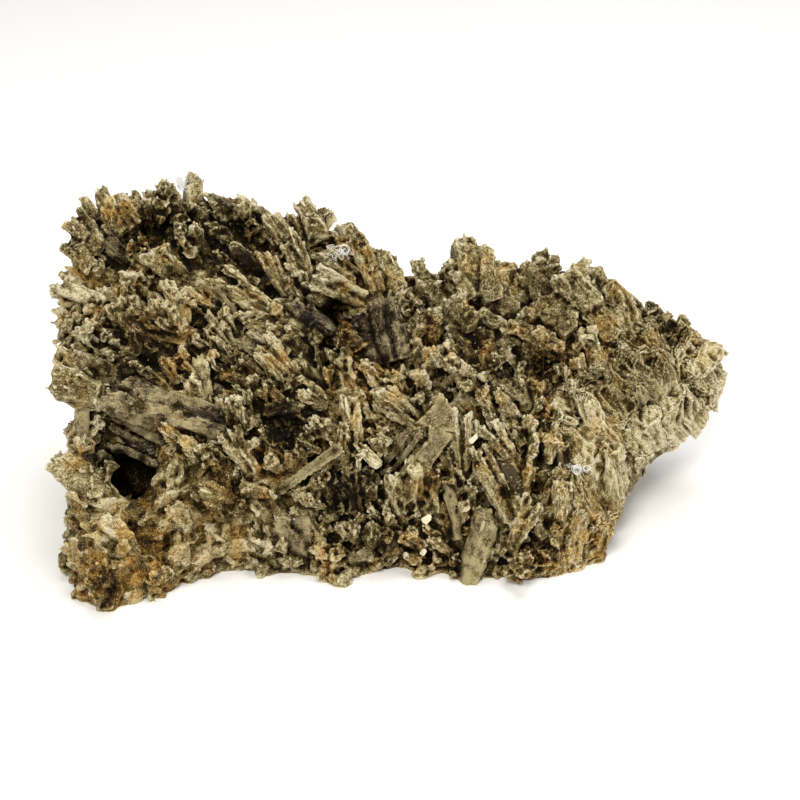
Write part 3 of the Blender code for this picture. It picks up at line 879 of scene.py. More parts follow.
FINE = Cut(4, (0.0, 0.5, 0.9, 1.0), (0.6, 0.85, 0.8, 0.25), (0.9, 1.1, 1.05, 0.75), ribs=0.03, grit=0.05,
           ragged=0.4, squareness=0.9)
TINY = Cut(4, (0.0, 0.8, 1.0), (0.8, 0.8, 0.1), (1.0, 1.1, 0.5), grit=0.03, ragged=0.3, squareness=0.9)


@dataclass
class Crowd:
    """Many blades at once: each field has one row for each blade, lengths in mm."""

    root: Array
    axis: Array
    facing: Array
    width: Array
    thickness: Array
    length: Array
    tint: Array
    glass: Array
    bend: Array

    def __len__(self) -> int:
        """How many blades there are."""
        return len(self.root)

    @property
    def across(self) -> Array:
        """The way across each blade's width."""
        return unit(np.cross(self.axis, self.facing))

    @staticmethod
    def joined(crowds: list["Crowd"]) -> "Crowd":
        """All the blades of several crowds."""
        columns = ([getattr(crowd, each.name) for each in fields(Crowd)] for crowd in crowds)
        return Crowd(*(np.concatenate(column) for column in zip(*columns)))

    def chosen(self, which: Array) -> "Crowd":
        """The blades that a mask or a list of numbers chooses."""
        return Crowd(*(getattr(self, each.name)[which] for each in fields(Crowd)))

    def split(self, lamella: Array, rng: Random) -> "Crowd":
        """Each blade as parallel lamellae side by side, up to seven, that fan a little and end unevenly.

        Args:
            lamella: about how wide a lamella of each blade is, in mm, one value for each.
            rng: draws their widths, depths and lengths.

        Returns:
            The lamellae of all blades.
        """
        count = np.clip(np.round(self.width / lamella * rng.uniform(0.75, 1.3, len(self))), 1, 7).astype(int)
        which = np.repeat(np.arange(len(self)), count)
        total = len(which)
        rank = np.arange(total) - np.repeat(np.cumsum(count) - count, count)
        share = ((rank + 0.5) / count[which] - 0.5)[:, None]
        one = self.chosen(which)
        out = np.cross(one.across, one.axis)
        depth = (0.14 * one.thickness * rng.normal(0, 1, total))[:, None]
        single = count[which] == 1
        return replace(
            one, root=one.root + one.across * share * one.width[:, None] + out * depth,
            axis=unit(one.axis + one.across * share * 0.12 + 0.035 * scatter(rng, total)),
            facing=unit(one.facing + 0.2 * scatter(rng, total)),
            width=one.width / count[which] * np.where(single, 1.0, rng.uniform(1.05, 1.6, total)),
            thickness=one.thickness * rng.uniform(0.7, 1.15, total),
            length=one.length * (1 - 0.25 * rng.random(total) ** 2 * ~single),
            tint=np.clip(one.tint + rng.normal(0, 0.09, total), 0, 1))


@dataclass
class Batch:
    """Part of a mesh: points in mm, faces, and what each point looks like.

    look holds tone, glass, rust and how far along its blade a point is; local holds rib coordinates.
    """

    points: Array
    faces: Array
    look: Array
    local: Array

    @staticmethod
    def joined(batches: list["Batch"]) -> "Batch":
        """Several batches as one."""
        starts = np.cumsum([0] + [len(batch.points) for batch in batches])
        faces = [batch.faces + start for batch, start in zip(batches, starts)]
        return Batch(np.concatenate([b.points for b in batches]), np.concatenate(faces),
                     np.concatenate([b.look for b in batches]), np.concatenate([b.local for b in batches]))

    def part(self, chosen: Array) -> "Batch":
        """The faces that a mask chooses, with their points alone."""
        faces = self.faces[chosen]
        used, fresh = np.unique(faces, return_inverse=True)
        return Batch(self.points[used], fresh.reshape(faces.shape), self.look[used], self.local[used])

    def make(self, name: str, material: Material, replaces: bool = False) -> Object:
        """The piece, which rides on the cluster's body."""
        piece = make_mesh(name, self.points, self.faces)
        set_attribute(piece, "look", "FLOAT_COLOR", self.look)
        set_attribute(piece, "local", "FLOAT_VECTOR", self.local)
        piece.data.materials.append(material)
        if replaces:
            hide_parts(CLUSTER_NODE)
        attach(piece, ROOT_BODY)
        log.info("%s: %d triangles", name, len(self.faces) * (self.faces.shape[1] - 2))
        return piece


@dataclass
class Maker:
    """Turns crowds and grains into batches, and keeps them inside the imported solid's box."""

    surroundings: Surroundings
    margin: float = 1.8
    rib_length: float = 5.0
    # Ribs that stand out are painted paler, a painted highlight, and sunk ones darker, painted shade.
    rib_highlight_shade_tone: float = 0.25
    # Tips painted paler, partly their frosted crust and partly a painted highlight, and roots darker as
    # painted shade.
    tip_highlight_root_shade_tone: float = 0.25
    pale_tone: float = 0.16
    dark_tone: float = -0.5
    stain: float = 0.7
    end_stain: float = 0.35
    stain_size: float = 7.0

    def blades(self, crowd: Crowd, cut: Cut, rng: Random) -> Batch:
        """Points, triangles and colours of every blade of a crowd.

        A point is root + axis * v + across * c * width * s(v) + out * d * thickness * s(v), where (c, d) goes
        round the cut's section and s is each ring's size. Columns are then moved out or in by the cut's ribs
        and single points by its grit, and the last rings fall by a slant across the width and by their
        raggedness.

        Args:
            crowd: the blades.
            cut: how they are made.
            rng: draws their differences.

        Returns:
            The batch, blade after blade and ring after ring.
        """
        n, sides, rings = len(crowd), cut.sides, cut.rings
        across = crowd.across
        out = np.cross(across, crowd.axis)
        swell = rng.uniform(np.array(cut.swell_low), np.array(cut.swell_high), (n, rings))[:, :, None]
        section = cut.section()[None, None] + rng.uniform(-0.06, 0.06, (n, 1, sides, 2))
        width, thickness = crowd.width[:, None, None], crowd.thickness[:, None, None]
        c = section[..., 0] * width * swell
        d = section[..., 1] * thickness * swell
        radius = np.maximum(np.hypot(c, d), 1e-6)
        push = cut.ribs * rng.uniform(-1, 1, (n, 1, sides)) + cut.grit * rng.uniform(-1, 1, (n, rings, sides))
        push = np.maximum(push, -0.7 * radius)
        shift = rng.normal(0, cut.wobble, (n, rings, 2)) * width
        c = c * (1 + push / radius) + shift[..., 0][:, :, None]
        d = d * (1 + push / radius) + shift[..., 1][:, :, None]
        stations = np.broadcast_to(np.array(cut.stations)[None, :, None], (n, rings, sides))
        v = stations * crowd.length[:, None, None]
        slant = rng.uniform(-0.3, 0.5, n)[:, None, None] * width * (section[..., 0] + 0.5)
        fall = slant + cut.ragged * width * rng.random((n, 1, sides)) ** 2
        v = v - fall * np.clip((stations - 0.6) / 0.4, 0, 1) ** 2
        bow = c + crowd.bend[:, None, None] * 4 * stations * (1 - stations)
        points = (crowd.root[:, None, None] + crowd.axis[:, None, None] * v[..., None]
                  + across[:, None, None] * bow[..., None] + out[:, None, None] * d[..., None])
        points = self.kept(points.reshape(-1, 3))
        each = sides * rings
        # Ribs that stand out are painted paler as a highlight, sunk ones darker as shade.
        relief = (0.5 * push / max(cut.ribs + cut.grit, 1e-6)).ravel()
        tone = np.repeat(crowd.tint, each) + self.rib_highlight_shade_tone * relief
        # Tips are painted paler, partly frosted crust and partly a painted highlight, and roots darker as
        # painted shade.
        tone = tone + self.tip_highlight_root_shade_tone * (stations.ravel() - 0.5)
        offset = rng.uniform(0, 500, n)[:, None, None]
        ribs = CrustFinish.rib_spacing
        local = np.stack([(c + offset) / ribs, d / ribs, v / self.rib_length], axis=-1).reshape(-1, 3)
        look = self.look(points, tone, np.repeat(crowd.glass, each), stations.ravel())
        return Batch(points, cut.faces(n), look, local)

    def kept(self, points: Array) -> Array:
        """Points held inside the solid's box and a small margin, and above the ground."""
        low, high = self.surroundings.lowest - self.margin, self.surroundings.highest + self.margin
        low[2] = 0.0
        return np.clip(points, low, high)

    def look(self, points: Array, tone: Array, glass: Array, along: Array) -> Array:
        """Each point's tone, made paler or darker by the spots it lies in, with its glass, rust and place.

        Args:
            points: places in mm, one row each.
            tone: how pale each point is, round 0.5.
            glass: how bare it is.
            along: how far along its blade it is.

        Returns:
            Rows of tone, glass, rust and how far along its blade a point is.
        """
        rust, pale, dark = (self.surroundings.amount(name, points) for name in ("rust", "pale", "dark"))
        strength = self.stain - self.end_stain * self.surroundings.zones.lamellar(points)
        rust = np.maximum(rust, strength * ramp(layered_noise(points, self.stain_size, 51, 2), 0, 0.8))
        # The dark spots paint shade over the holes.
        return np.stack([tone + self.pale_tone * pale + self.dark_tone * dark, glass, rust, along], axis=1)


@dataclass
class HostField:
    """Bundles of blunt blades all over the cluster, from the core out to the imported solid's surface.

    The widths of blades, ridges, lumps and knobs are a middle one, a spread, a least and a most.
    """

    surroundings: Surroundings
    core: Core
    candidates: int = 60000
    front_gap: float = 2.9
    lamella_gap: float = 6.0
    rock_gap: float = 4.2
    along_stretch: float = 0.6
    root_depth: float = 2.0
    longest: float = 10.0
    most_proud: float = 2.2
    pit_share: float = -0.66
    lamella: float = 1.45
    fine_lamella: float = 0.8
    knob_count: int = 4500
    long_count: int = 150
    glassy_share: float = 0.1
    blade_width: tuple = (3.1, 0.35, 1.4, 6.0)
    ridge_width: tuple = (1.2, 0.35, 0.7, 2.0)
    lump_width: tuple = (3.6, 0.4, 1.6, 8.0)
    knob_width: tuple = (1.2, 0.45, 0.6, 3.5)
    ridge_length: tuple = (5, 11)
    ridge_thickness: tuple = (1.0, 1.8)
    long_width: tuple = (2.0, 4.0)
    long_length: tuple = (8, 16)

    def sites(self, rng: Random) -> tuple[Array, Array]:
        """Places on the core and their normals, spread by area and thinned to a least distance.

        Distances along the way of growth count for less, because blades are long that way. Where a slow noise
        is lowest, and in the heart of each dark spot, no blade grows and a pit stays open.

        Args:
            rng: draws them.

        Returns:
            The places in mm and the normals, one row each.
        """
        points, triangles = self.core.points, self.core.triangles
        a, b, c = (points[triangles[:, i]] for i in range(3))
        area = np.linalg.norm(np.cross(b - a, c - a), axis=1)
        chosen = rng.choice(len(triangles), self.candidates, p=area / area.sum())
        u, v = rng.random((2, self.candidates))
        flip = u + v > 1
        u, v = np.where(flip, 1 - u, u), np.where(flip, 1 - v, v)
        places = a[chosen] + (b - a)[chosen] * u[:, None] + (c - a)[chosen] * v[:, None]
        normals = unit(self.core.normals[triangles[chosen]].mean(axis=1))
        zones = self.surroundings.zones
        height = places[:, 2]
        keep = ((normals[:, 2] > -0.5) | ((height > 4) & (normals[:, 2] > -0.95))) & (height > 0.2)
        keep &= (lattice_noise(places, 6.5, 61) > self.pit_share) | (height < 6)
        keep &= self.surroundings.amount("dark", places) < 0.8
        keep &= self.surroundings.amount("pits", places) < 1.5
        places, normals = places[keep], normals[keep]
        growth = zones.growth(places)
        lamellar = zones.lamellar(places)
        bare = zones.bare_rock(places, normals)
        gap = self.front_gap + (self.lamella_gap - self.front_gap) * lamellar
        gap = gap + (self.rock_gap - gap) * bare
        cell = max(self.rock_gap, self.lamella_gap)
        grid: dict[tuple[int, int, int], list[int]] = {}
        kept = []
        keys = np.floor(places / cell).astype(int)
        for i, key in enumerate(map(tuple, keys)):
            near = [j for dx in (-1, 0, 1) for dy in (-1, 0, 1) for dz in (-1, 0, 1)
                    for j in grid.get((key[0] + dx, key[1] + dy, key[2] + dz), ())]
            if near:
                apart = places[near] - places[i]
                lengthwise = apart @ growth[i]
                squared = (apart ** 2).sum(axis=1) - self.along_stretch * lengthwise ** 2
                if squared.min() < gap[i] ** 2:
                    continue
            grid.setdefault(key, []).append(i)
            kept.append(i)
        return places[kept], normals[kept]

    def aimed(self, place: Array, normal: Array, way: Array) -> tuple[Array, float]:
        """The way and the length of a bundle, tilted outwards until it leaves the solid soon enough.

        Args:
            place: where the bundle stands on the core.
            normal: the core's normal there.
            way: the way that it grows if the solid's surface is near enough.

        Returns:
            The bundle's way and its length up to the surface.
        """
        for tilt in (0.0, 0.2, 0.4, 0.65, 1.0, 1.6):
            tilted = way + normal * tilt
            tilted = tilted / np.linalg.norm(tilted)
            if tilted @ normal < 0.24:
                continue
            reach = self.surroundings.way_out(place, tilted)
            if reach < self.longest:
                break
        return tilted, min(reach, self.longest)

    def grow(self, rng: Random) -> tuple[Crowd, Crowd]:
        """Makes the lamellae of every bundle, and the lumps that take their place where it is blocky.

        On the right-hand end bundles lie along the solid's surface, so that only their ridges show. Elsewhere
        they stand out from the core: root + axis * length ends a little beyond the solid's surface. Lumps are
        wider and flatter on the lower left.

        Returns:
            The lamellae, with those of the reclining bundles, and the lumps.
        """
        zones, way_out = self.surroundings.zones, self.surroundings.way_out
        places, normals = self.sites(rng)
        count = len(places)
        low = ramp(places[:, 2], 6, 1)[:, None]
        ways = zones.growth(places) * (1 - 0.6 * low) + normals * np.array([1, 1, 0]) * 0.9 * low
        blocky, platy = self.surroundings.blocky(places), zones.platy(places)
        loose = 0.22 + 0.13 * ramp(places[:, 2], 22, 8) + 0.3 * blocky
        ways = unit(ways + loose[:, None] * scatter(rng, count))
        flat = unit(laid(ways, normals) + 0.1 * scatter(rng, count))
        ridged = zones.lamellar(places) > rng.random(count)
        lump = ~ridged & (rng.random(count) < 0.9 * blocky)
        aimed = [self.aimed(*row) for row in zip(places, normals, ways)]
        rise = np.array([way_out(*row) for row in zip(places, normals)])
        reach = np.array([length for _, length in aimed])
        bare = zones.bare_rock(places, normals)
        relief = 1.2 * lattice_noise(places, 10.0, 62) + 0.8 * ramp(normals[:, 2], 0.2, 0.6) + 0.7
        proud = (rng.normal(0, 1.1, count) + relief - 0.4 * blocky) * (1 - 0.8 * bare)
        proud = np.minimum(proud, self.most_proud) - 1.8 * ramp(places[:, 2], 14, 3)
        spare = np.array([min(way_out(a, b), way_out(a, -b)) for a, b in zip(places, flat)])
        flat_length = np.minimum(rng.uniform(*self.ridge_length, count), 2 * spare + 1.5)
        length = np.where(ridged, flat_length, np.maximum(1.5, reach + proud) + self.root_depth)
        bulk = 1.0 + 0.4 * lattice_noise(places, 12.0, 64)
        width = drawn_sizes(rng, count, *self.blade_width, scale=bulk)
        width = np.where(ridged, drawn_sizes(rng, count, *self.ridge_width), width)
        width = np.where(lump, drawn_sizes(rng, count, *self.lump_width, scale=1 + 0.35 * platy), width)
        lump_flatness = rng.uniform(0.3, 0.9, count) * (1 - 0.4 * platy)
        thickness = width * np.where(lump, lump_flatness, rng.uniform(0.4, 0.85, count))
        thickness = np.where(ridged, rng.uniform(*self.ridge_thickness, count), thickness)
        lift = np.minimum(rise, self.longest) - 0.5 * thickness + rng.normal(-0.3, 0.2, count)
        axis = np.where(ridged[:, None], flat, np.array([way for way, _ in aimed]))
        root = np.where(ridged[:, None], places + normals * lift[:, None], places)
        root = root - axis * np.where(ridged, 0.5 * length, self.root_depth)[:, None]
        facing = unit(normals + np.where(ridged, 0.1, 0.5)[:, None] * scatter(rng, count))
        tint = np.clip(rng.normal(0.5 + 0.25 * lattice_noise(places, 8.0, 63), 0.16), 0.02, 0.98)
        glass = np.where(rng.random(count) < self.glassy_share, rng.uniform(0.5, 1.0, count),
                         rng.uniform(0.0, 0.5, count) ** 2)
        glass = np.where(ridged | lump, 0.1 * glass, glass)
        log.info("%d bundles", count)
        whole = Crowd(root, axis, facing, width, thickness, length, tint, glass, rng.normal(0, 0.25, count))
        lamella = np.where(ridged, self.fine_lamella, self.lamella * rng.uniform(0.7, 2.2, count))
        blades = Crowd.joined([whole.chosen(~lump), self.reclining(places, normals, rise)])
        lamella = np.concatenate([lamella[~lump], np.full(self.long_count, 1.4 * self.lamella)])
        return blades.split(lamella, rng), whole.chosen(lump)

    def reclining(self, places: Array, normals: Array, rise: Array) -> Crowd:
        """Long bundles that lie against the upper front and rise from it at a shallow angle.

        Args:
            places: the sites on the core, one row each.
            normals: the core's normals there.
            rise: how far the solid's surface is from each site.

        Returns:
            The bundles, each as one blade.
        """
        rng = np.random.default_rng(SEED + 1)
        zones, count = self.surroundings.zones, self.long_count
        weight = (ramp(-normals[:, 1], 0.1, 0.5) * ramp(places[:, 2], 12, 20) * (1 - zones.lamellar(places))
                  * ramp(places[:, 0], -68, -60) * (1 - self.surroundings.blocky(places)) + 1e-6)
        chosen = rng.choice(len(places), count, replace=False, p=weight / weight.sum())
        place, normal = places[chosen], normals[chosen]
        way = zones.growth(place)
        flat = unit(laid(way, normal))
        axis = unit(flat + rng.uniform(0.1, 0.4, (count, 1)) * normal + 0.1 * scatter(rng, count))
        width = rng.uniform(*self.long_width, count)
        thickness, length = width * rng.uniform(0.5, 0.8, count), rng.uniform(*self.long_length, count)
        lift = np.minimum(rise[chosen], self.longest) - 0.5 * thickness + rng.normal(0, 0.4, count)
        root = place + normal * lift[:, None] - axis * (0.55 * length)[:, None]
        return Crowd(root, axis, unit(normal + 0.3 * scatter(rng, count)), width, thickness, length,
                     np.clip(rng.normal(0.52, 0.14, count), 0, 1), rng.uniform(0, 0.6, count) ** 2,
                     rng.normal(0, 0.3, count))

    def knobs(self, hosts: Crowd, rng: Random) -> Crowd:
        """Rounded crusted lumps on the blades and lumps, most of them near the tips.

        Args:
            hosts: what they grow on.
            rng: draws them.

        Returns:
            The knobs, most of them where the cluster is blocky, and wider and flatter on the lower left.
        """
        count = 4 * self.knob_count
        which = rng.integers(0, len(hosts), count)
        share = rng.beta(2.2, 1.2, count)
        side = unit(scatter(rng, count))
        axis, across = hosts.axis[which], hosts.across[which]
        place = hosts.root[which] + axis * (share * hosts.length[which])[:, None]
        place += across * (0.45 * hosts.width[which] * rng.uniform(-1, 1, count))[:, None]
        place += np.cross(across, axis) * (0.4 * hosts.thickness[which] * rng.uniform(-1, 1, count))[:, None]
        blocky, lamellar = self.surroundings.blocky(place), self.surroundings.zones.lamellar(place)
        platy = self.surroundings.zones.platy(place)
        chance = (0.25 + 0.75 * blocky) * (1 - lamellar) * np.clip(1 - 0.8 * hosts.glass[which], 0, 1)
        chance = chance * (1 - 0.75 * platy)
        kept = np.flatnonzero(rng.random(count) < chance)[:self.knob_count]
        width = drawn_sizes(rng, len(kept), *self.knob_width)
        width = width * (1 + 0.5 * blocky[kept] + 0.7 * platy[kept])
        length = width * rng.uniform(0.8, 1.6, len(kept))
        way = unit(axis[kept] + 0.7 * side[kept])
        root = place[kept] - way * (0.5 * length)[:, None]
        return Crowd(root, way, unit(scatter(rng, len(kept))), width,
                     width * rng.uniform(0.35, 0.9, len(kept)) * (1 - 0.4 * platy[kept]), length,
                     np.clip(hosts.tint[which][kept] + rng.normal(0.02, 0.12, len(kept)), 0, 1),
                     0.3 * hosts.glass[which][kept], 0 * width)


@dataclass
class Aggregate:
    """The crusted mass: core and bundles merged, roughened, and coloured by the blade of each point.

    The spans are the heights in mm at which a point's far, near and edge tone are full. These tones are
    painted light: a point below its neighbours is painted darker as shade, one above them paler as a
    highlight.
    A fold is how far its noise is drawn out, that noise's spacing and its seed.
    """

    surroundings: Surroundings
    core: Core
    maker: Maker
    hosts: Crowd
    knobs: Crowd
    voxel: float = 0.38
    pieces: int = 8
    crust_height: float = 0.32
    mean_tone: float = 0.5
    end_tone: float = 0.07
    fold_height: float = 0.85
    lump_height: float = 0.5
    # Painted light: points in hollows are painted darker as shade, ridges, near relief and edges paler as a
    # highlight, and creases darker as shade.
    hollow_shade_tone: float = 1.45
    ridge_highlight_tone: float = 0.42
    near_highlight_shade_tone: float = 0.4
    edge_highlight_shade_tone: float = 0.3
    tint_tone: float = 0.4
    slow_tone: float = 0.12
    drawn_out: float = 1.2
    sugar_length: float = 0.8
    # Painted shade: the pits are painted darker.
    pit_shade_tone: float = -0.25
    glass_tone: float = -0.1
    far_span: float = 2.6
    near_span: float = 0.5
    edge_span: float = 0.12
    owner_reach: float = 0.8
    ridge_spacing: float = 1.7
    fine_spacing: float = 0.95
    grit_spacing: float = 0.8
    lump_spacing: float = 2.2
    folds: tuple = ((7.0, 2.0, 37), (4.5, 1.1, 38))
    fold_steps: int = 21
    batch: Batch = field(init=False)
    height: Array = field(init=False)
    normals: Array = field(init=False)
    owner: Array = field(init=False)

    def build(self, rng: Random) -> None:
        """Merges, roughens and colours the mass, without the crumbs that hang free of it.

        The crust moves a point by crust_height * (1 - 2.4 |a| - 1.6 |b| + grit), where a and b are noises
        drawn out along its blade. That makes sharp ridges with round hollows between them. It moves less
        where the blade is glassy, where the crust is calm and at the right-hand end, where two wider folds
        are added. Where the cluster is blocky the noises aren't drawn out, and the absolute value of a wider
        noise adds lumps. Three heights colour it: how far a point stands out of the surface averaged over its
        next, its near and its far neighbours. That is painted light: what lies lower than its neighbours is
        painted darker as shade, and what stands higher is painted paler as a highlight.
        """
        blades = Batch.joined([self.maker.blades(self.hosts, STUB, rng),
                               self.maker.blades(self.knobs, KNOB, rng)])
        self.hosts = Crowd.joined([self.hosts, self.knobs])
        joined = np.concatenate([blades.points, self.core.points])
        faces = np.concatenate([blades.faces, self.core.triangles + len(blades.points)])
        rough = make_mesh("rough_mass", joined, faces)
        mesh = remeshed(rough.data, self.voxel)
        bpy.data.objects.remove(rough)
        points, normals, _ = mesh_arrays(mesh)
        edges = edge_ends(mesh)
        quads = np.empty(len(mesh.polygons) * 4, dtype=np.int32)
        mesh.loops.foreach_get("vertex_index", quads)
        kept = main_body(len(points), edges)
        fresh = np.cumsum(kept) - 1
        points, normals = points[kept], normals[kept]
        edges = fresh[edges[kept[edges[:, 0]]]]
        quads = fresh[quads.reshape(-1, 4)[kept[quads[::4]]]]
        points = averaged(points / MM, edges, 1)
        owner, gap = self.owners(blades, points)
        offset = points - self.hosts.root[owner]
        axis, across = self.hosts.axis[owner], self.hosts.across[owner]
        v = (offset * axis).sum(axis=1)
        held = np.exp(-(gap / self.owner_reach) ** 2)
        along = np.clip(v / self.hosts.length[owner], 0, 1) * held
        along = np.maximum(along, 0.75 * ramp(points[:, 2], 7, 2))
        glass = np.minimum(self.hosts.glass[owner], 1)
        c, d = (offset * across).sum(axis=1), (offset * np.cross(across, axis)).sum(axis=1)
        slow_normals = unit(averaged(normals, edges, 6))
        zones = self.surroundings.zones
        blocky, lamellar = self.surroundings.blocky(points), zones.lamellar(points)[:, None]
        waves = np.stack([lattice_noise(points, 9.0, seed) for seed in (42, 43, 44)], axis=1)
        flat = unit(laid(zones.growth(points) + 0.3 * waves, slow_normals))
        drawn = unit(axis * (1 - lamellar) + flat * lamellar)
        wander = 0.5 * lattice_noise(points, 3.0, 36)
        reach = self.drawn_out * (1 - 0.9 * blocky)
        cover = (0.5 + 0.5 * along) * (1 - 0.75 * glass)
        bumps = (1.0 - 2.4 * np.abs(drawn_noise(points, drawn, reach, self.ridge_spacing, 31))
                 - 1.6 * np.abs(drawn_noise(points, drawn, reach, self.fine_spacing, 33))
                 + 0.5 * lattice_noise(points, self.grit_spacing, 35))
        ends = lamellar[:, 0]
        fold = np.flatnonzero(ends > 0)
        wide, narrow = (
            np.abs(drawn_noise(points[fold], flat[fold], np.full(len(fold), way), spacing, seed,
                               self.fold_steps))
            for way, spacing, seed in self.folds)
        calm = self.surroundings.calm(points)
        lift = self.crust_height * cover * (1 - np.maximum(0.5 * blocky, 0.4 * ends))
        lift = lift * (1 - 0.3 * calm) * bumps
        lift[fold] += self.fold_height * ends[fold] * (0.45 - 1.1 * wide - 0.6 * narrow)
        lumps = np.abs(lattice_noise(points, self.lump_spacing, 37)) - 0.3
        lift += self.lump_height * blocky * (1 - ends) * lumps
        lifted = points + normals * lift[:, None]
        grounded = (points[:, 2] < 0.5) & (normals[:, 2] < -0.6)
        lifted[:, 2] = np.where(grounded, 0.0, lifted[:, 2])
        lifted = self.maker.kept(lifted)
        # Heights above or below the neighbours, which the tone below turns into painted highlight and painted
        # shade.
        edge, near, far = (((lifted - averaged(lifted, edges, times)) * slow_normals).sum(axis=1) / span
                           for times, span in ((1, self.edge_span), (4, self.near_span), (70, self.far_span)))
        edge, near, far = (np.clip(height, -0.5, 0.5) for height in (edge, near, far))
        # Painted shade in hollows and painted highlight on what stands out.
        painted_relief_tone = np.where(far < 0, self.hollow_shade_tone, self.ridge_highlight_tone) * far + self.near_highlight_shade_tone * near
        # The pit tone paints shade into the pits.
        tone = (self.mean_tone + self.end_tone * ends + (1 - 0.5 * np.maximum(ends, 0.8 * calm)) * painted_relief_tone
                + self.edge_highlight_shade_tone * edge + self.tint_tone * (self.hosts.tint[owner] - 0.5)
                + self.slow_tone * layered_noise(points, 7.0, 41, 2)
                + self.pit_shade_tone * np.minimum(self.surroundings.amount("pits", points), 3)
                + self.glass_tone * glass)
        ribs = CrustFinish.rib_spacing
        lengthwise = v * (1 / self.maker.rib_length + blocky / self.sugar_length)
        local = np.stack([(c + wander) / ribs + 37.3 * owner, d / ribs, lengthwise], axis=1)
        look = self.maker.look(lifted, tone, self.hosts.glass[owner] * held, along)
        self.batch = Batch(lifted, quads, look, local)
        self.height = far + 0.5
        self.normals, self.owner = normals, owner
        log.info("mass: %d quads", len(self.batch.faces))

    @staticmethod
    def owners(blades: Batch, points: Array) -> tuple[Array, Array]:
        """The blade nearest to each point, and how far away it is.

        Args:
            blades: the blades' own meshes.
            points: places in mm, one row each.

        Returns:
            The number of each point's blade, and the distance to it in mm.
        """
        tree = BVHTree.FromPolygons(blades.points.tolist(), blades.faces.tolist())
        found = [tree.find_nearest(point) for point in points.tolist()]
        each = len(STUB.faces(1))
        return np.array([hit[2] for hit in found]) // each, np.array([hit[3] for hit in found])

    def make(self, material: Material) -> None:
        """Makes the pieces, stretches along X with about the same number of faces each."""
        middles = self.batch.points[self.batch.faces].mean(axis=1)[:, 0]
        edges = np.quantile(middles, np.linspace(0, 1, self.pieces + 1))
        edges[-1] += 1
        for i in range(self.pieces):
            chosen = (middles >= edges[i]) & (middles < edges[i + 1])
            self.batch.part(chosen).make(f"crystal_mass_{i + 1}", material, replaces=i == 0)


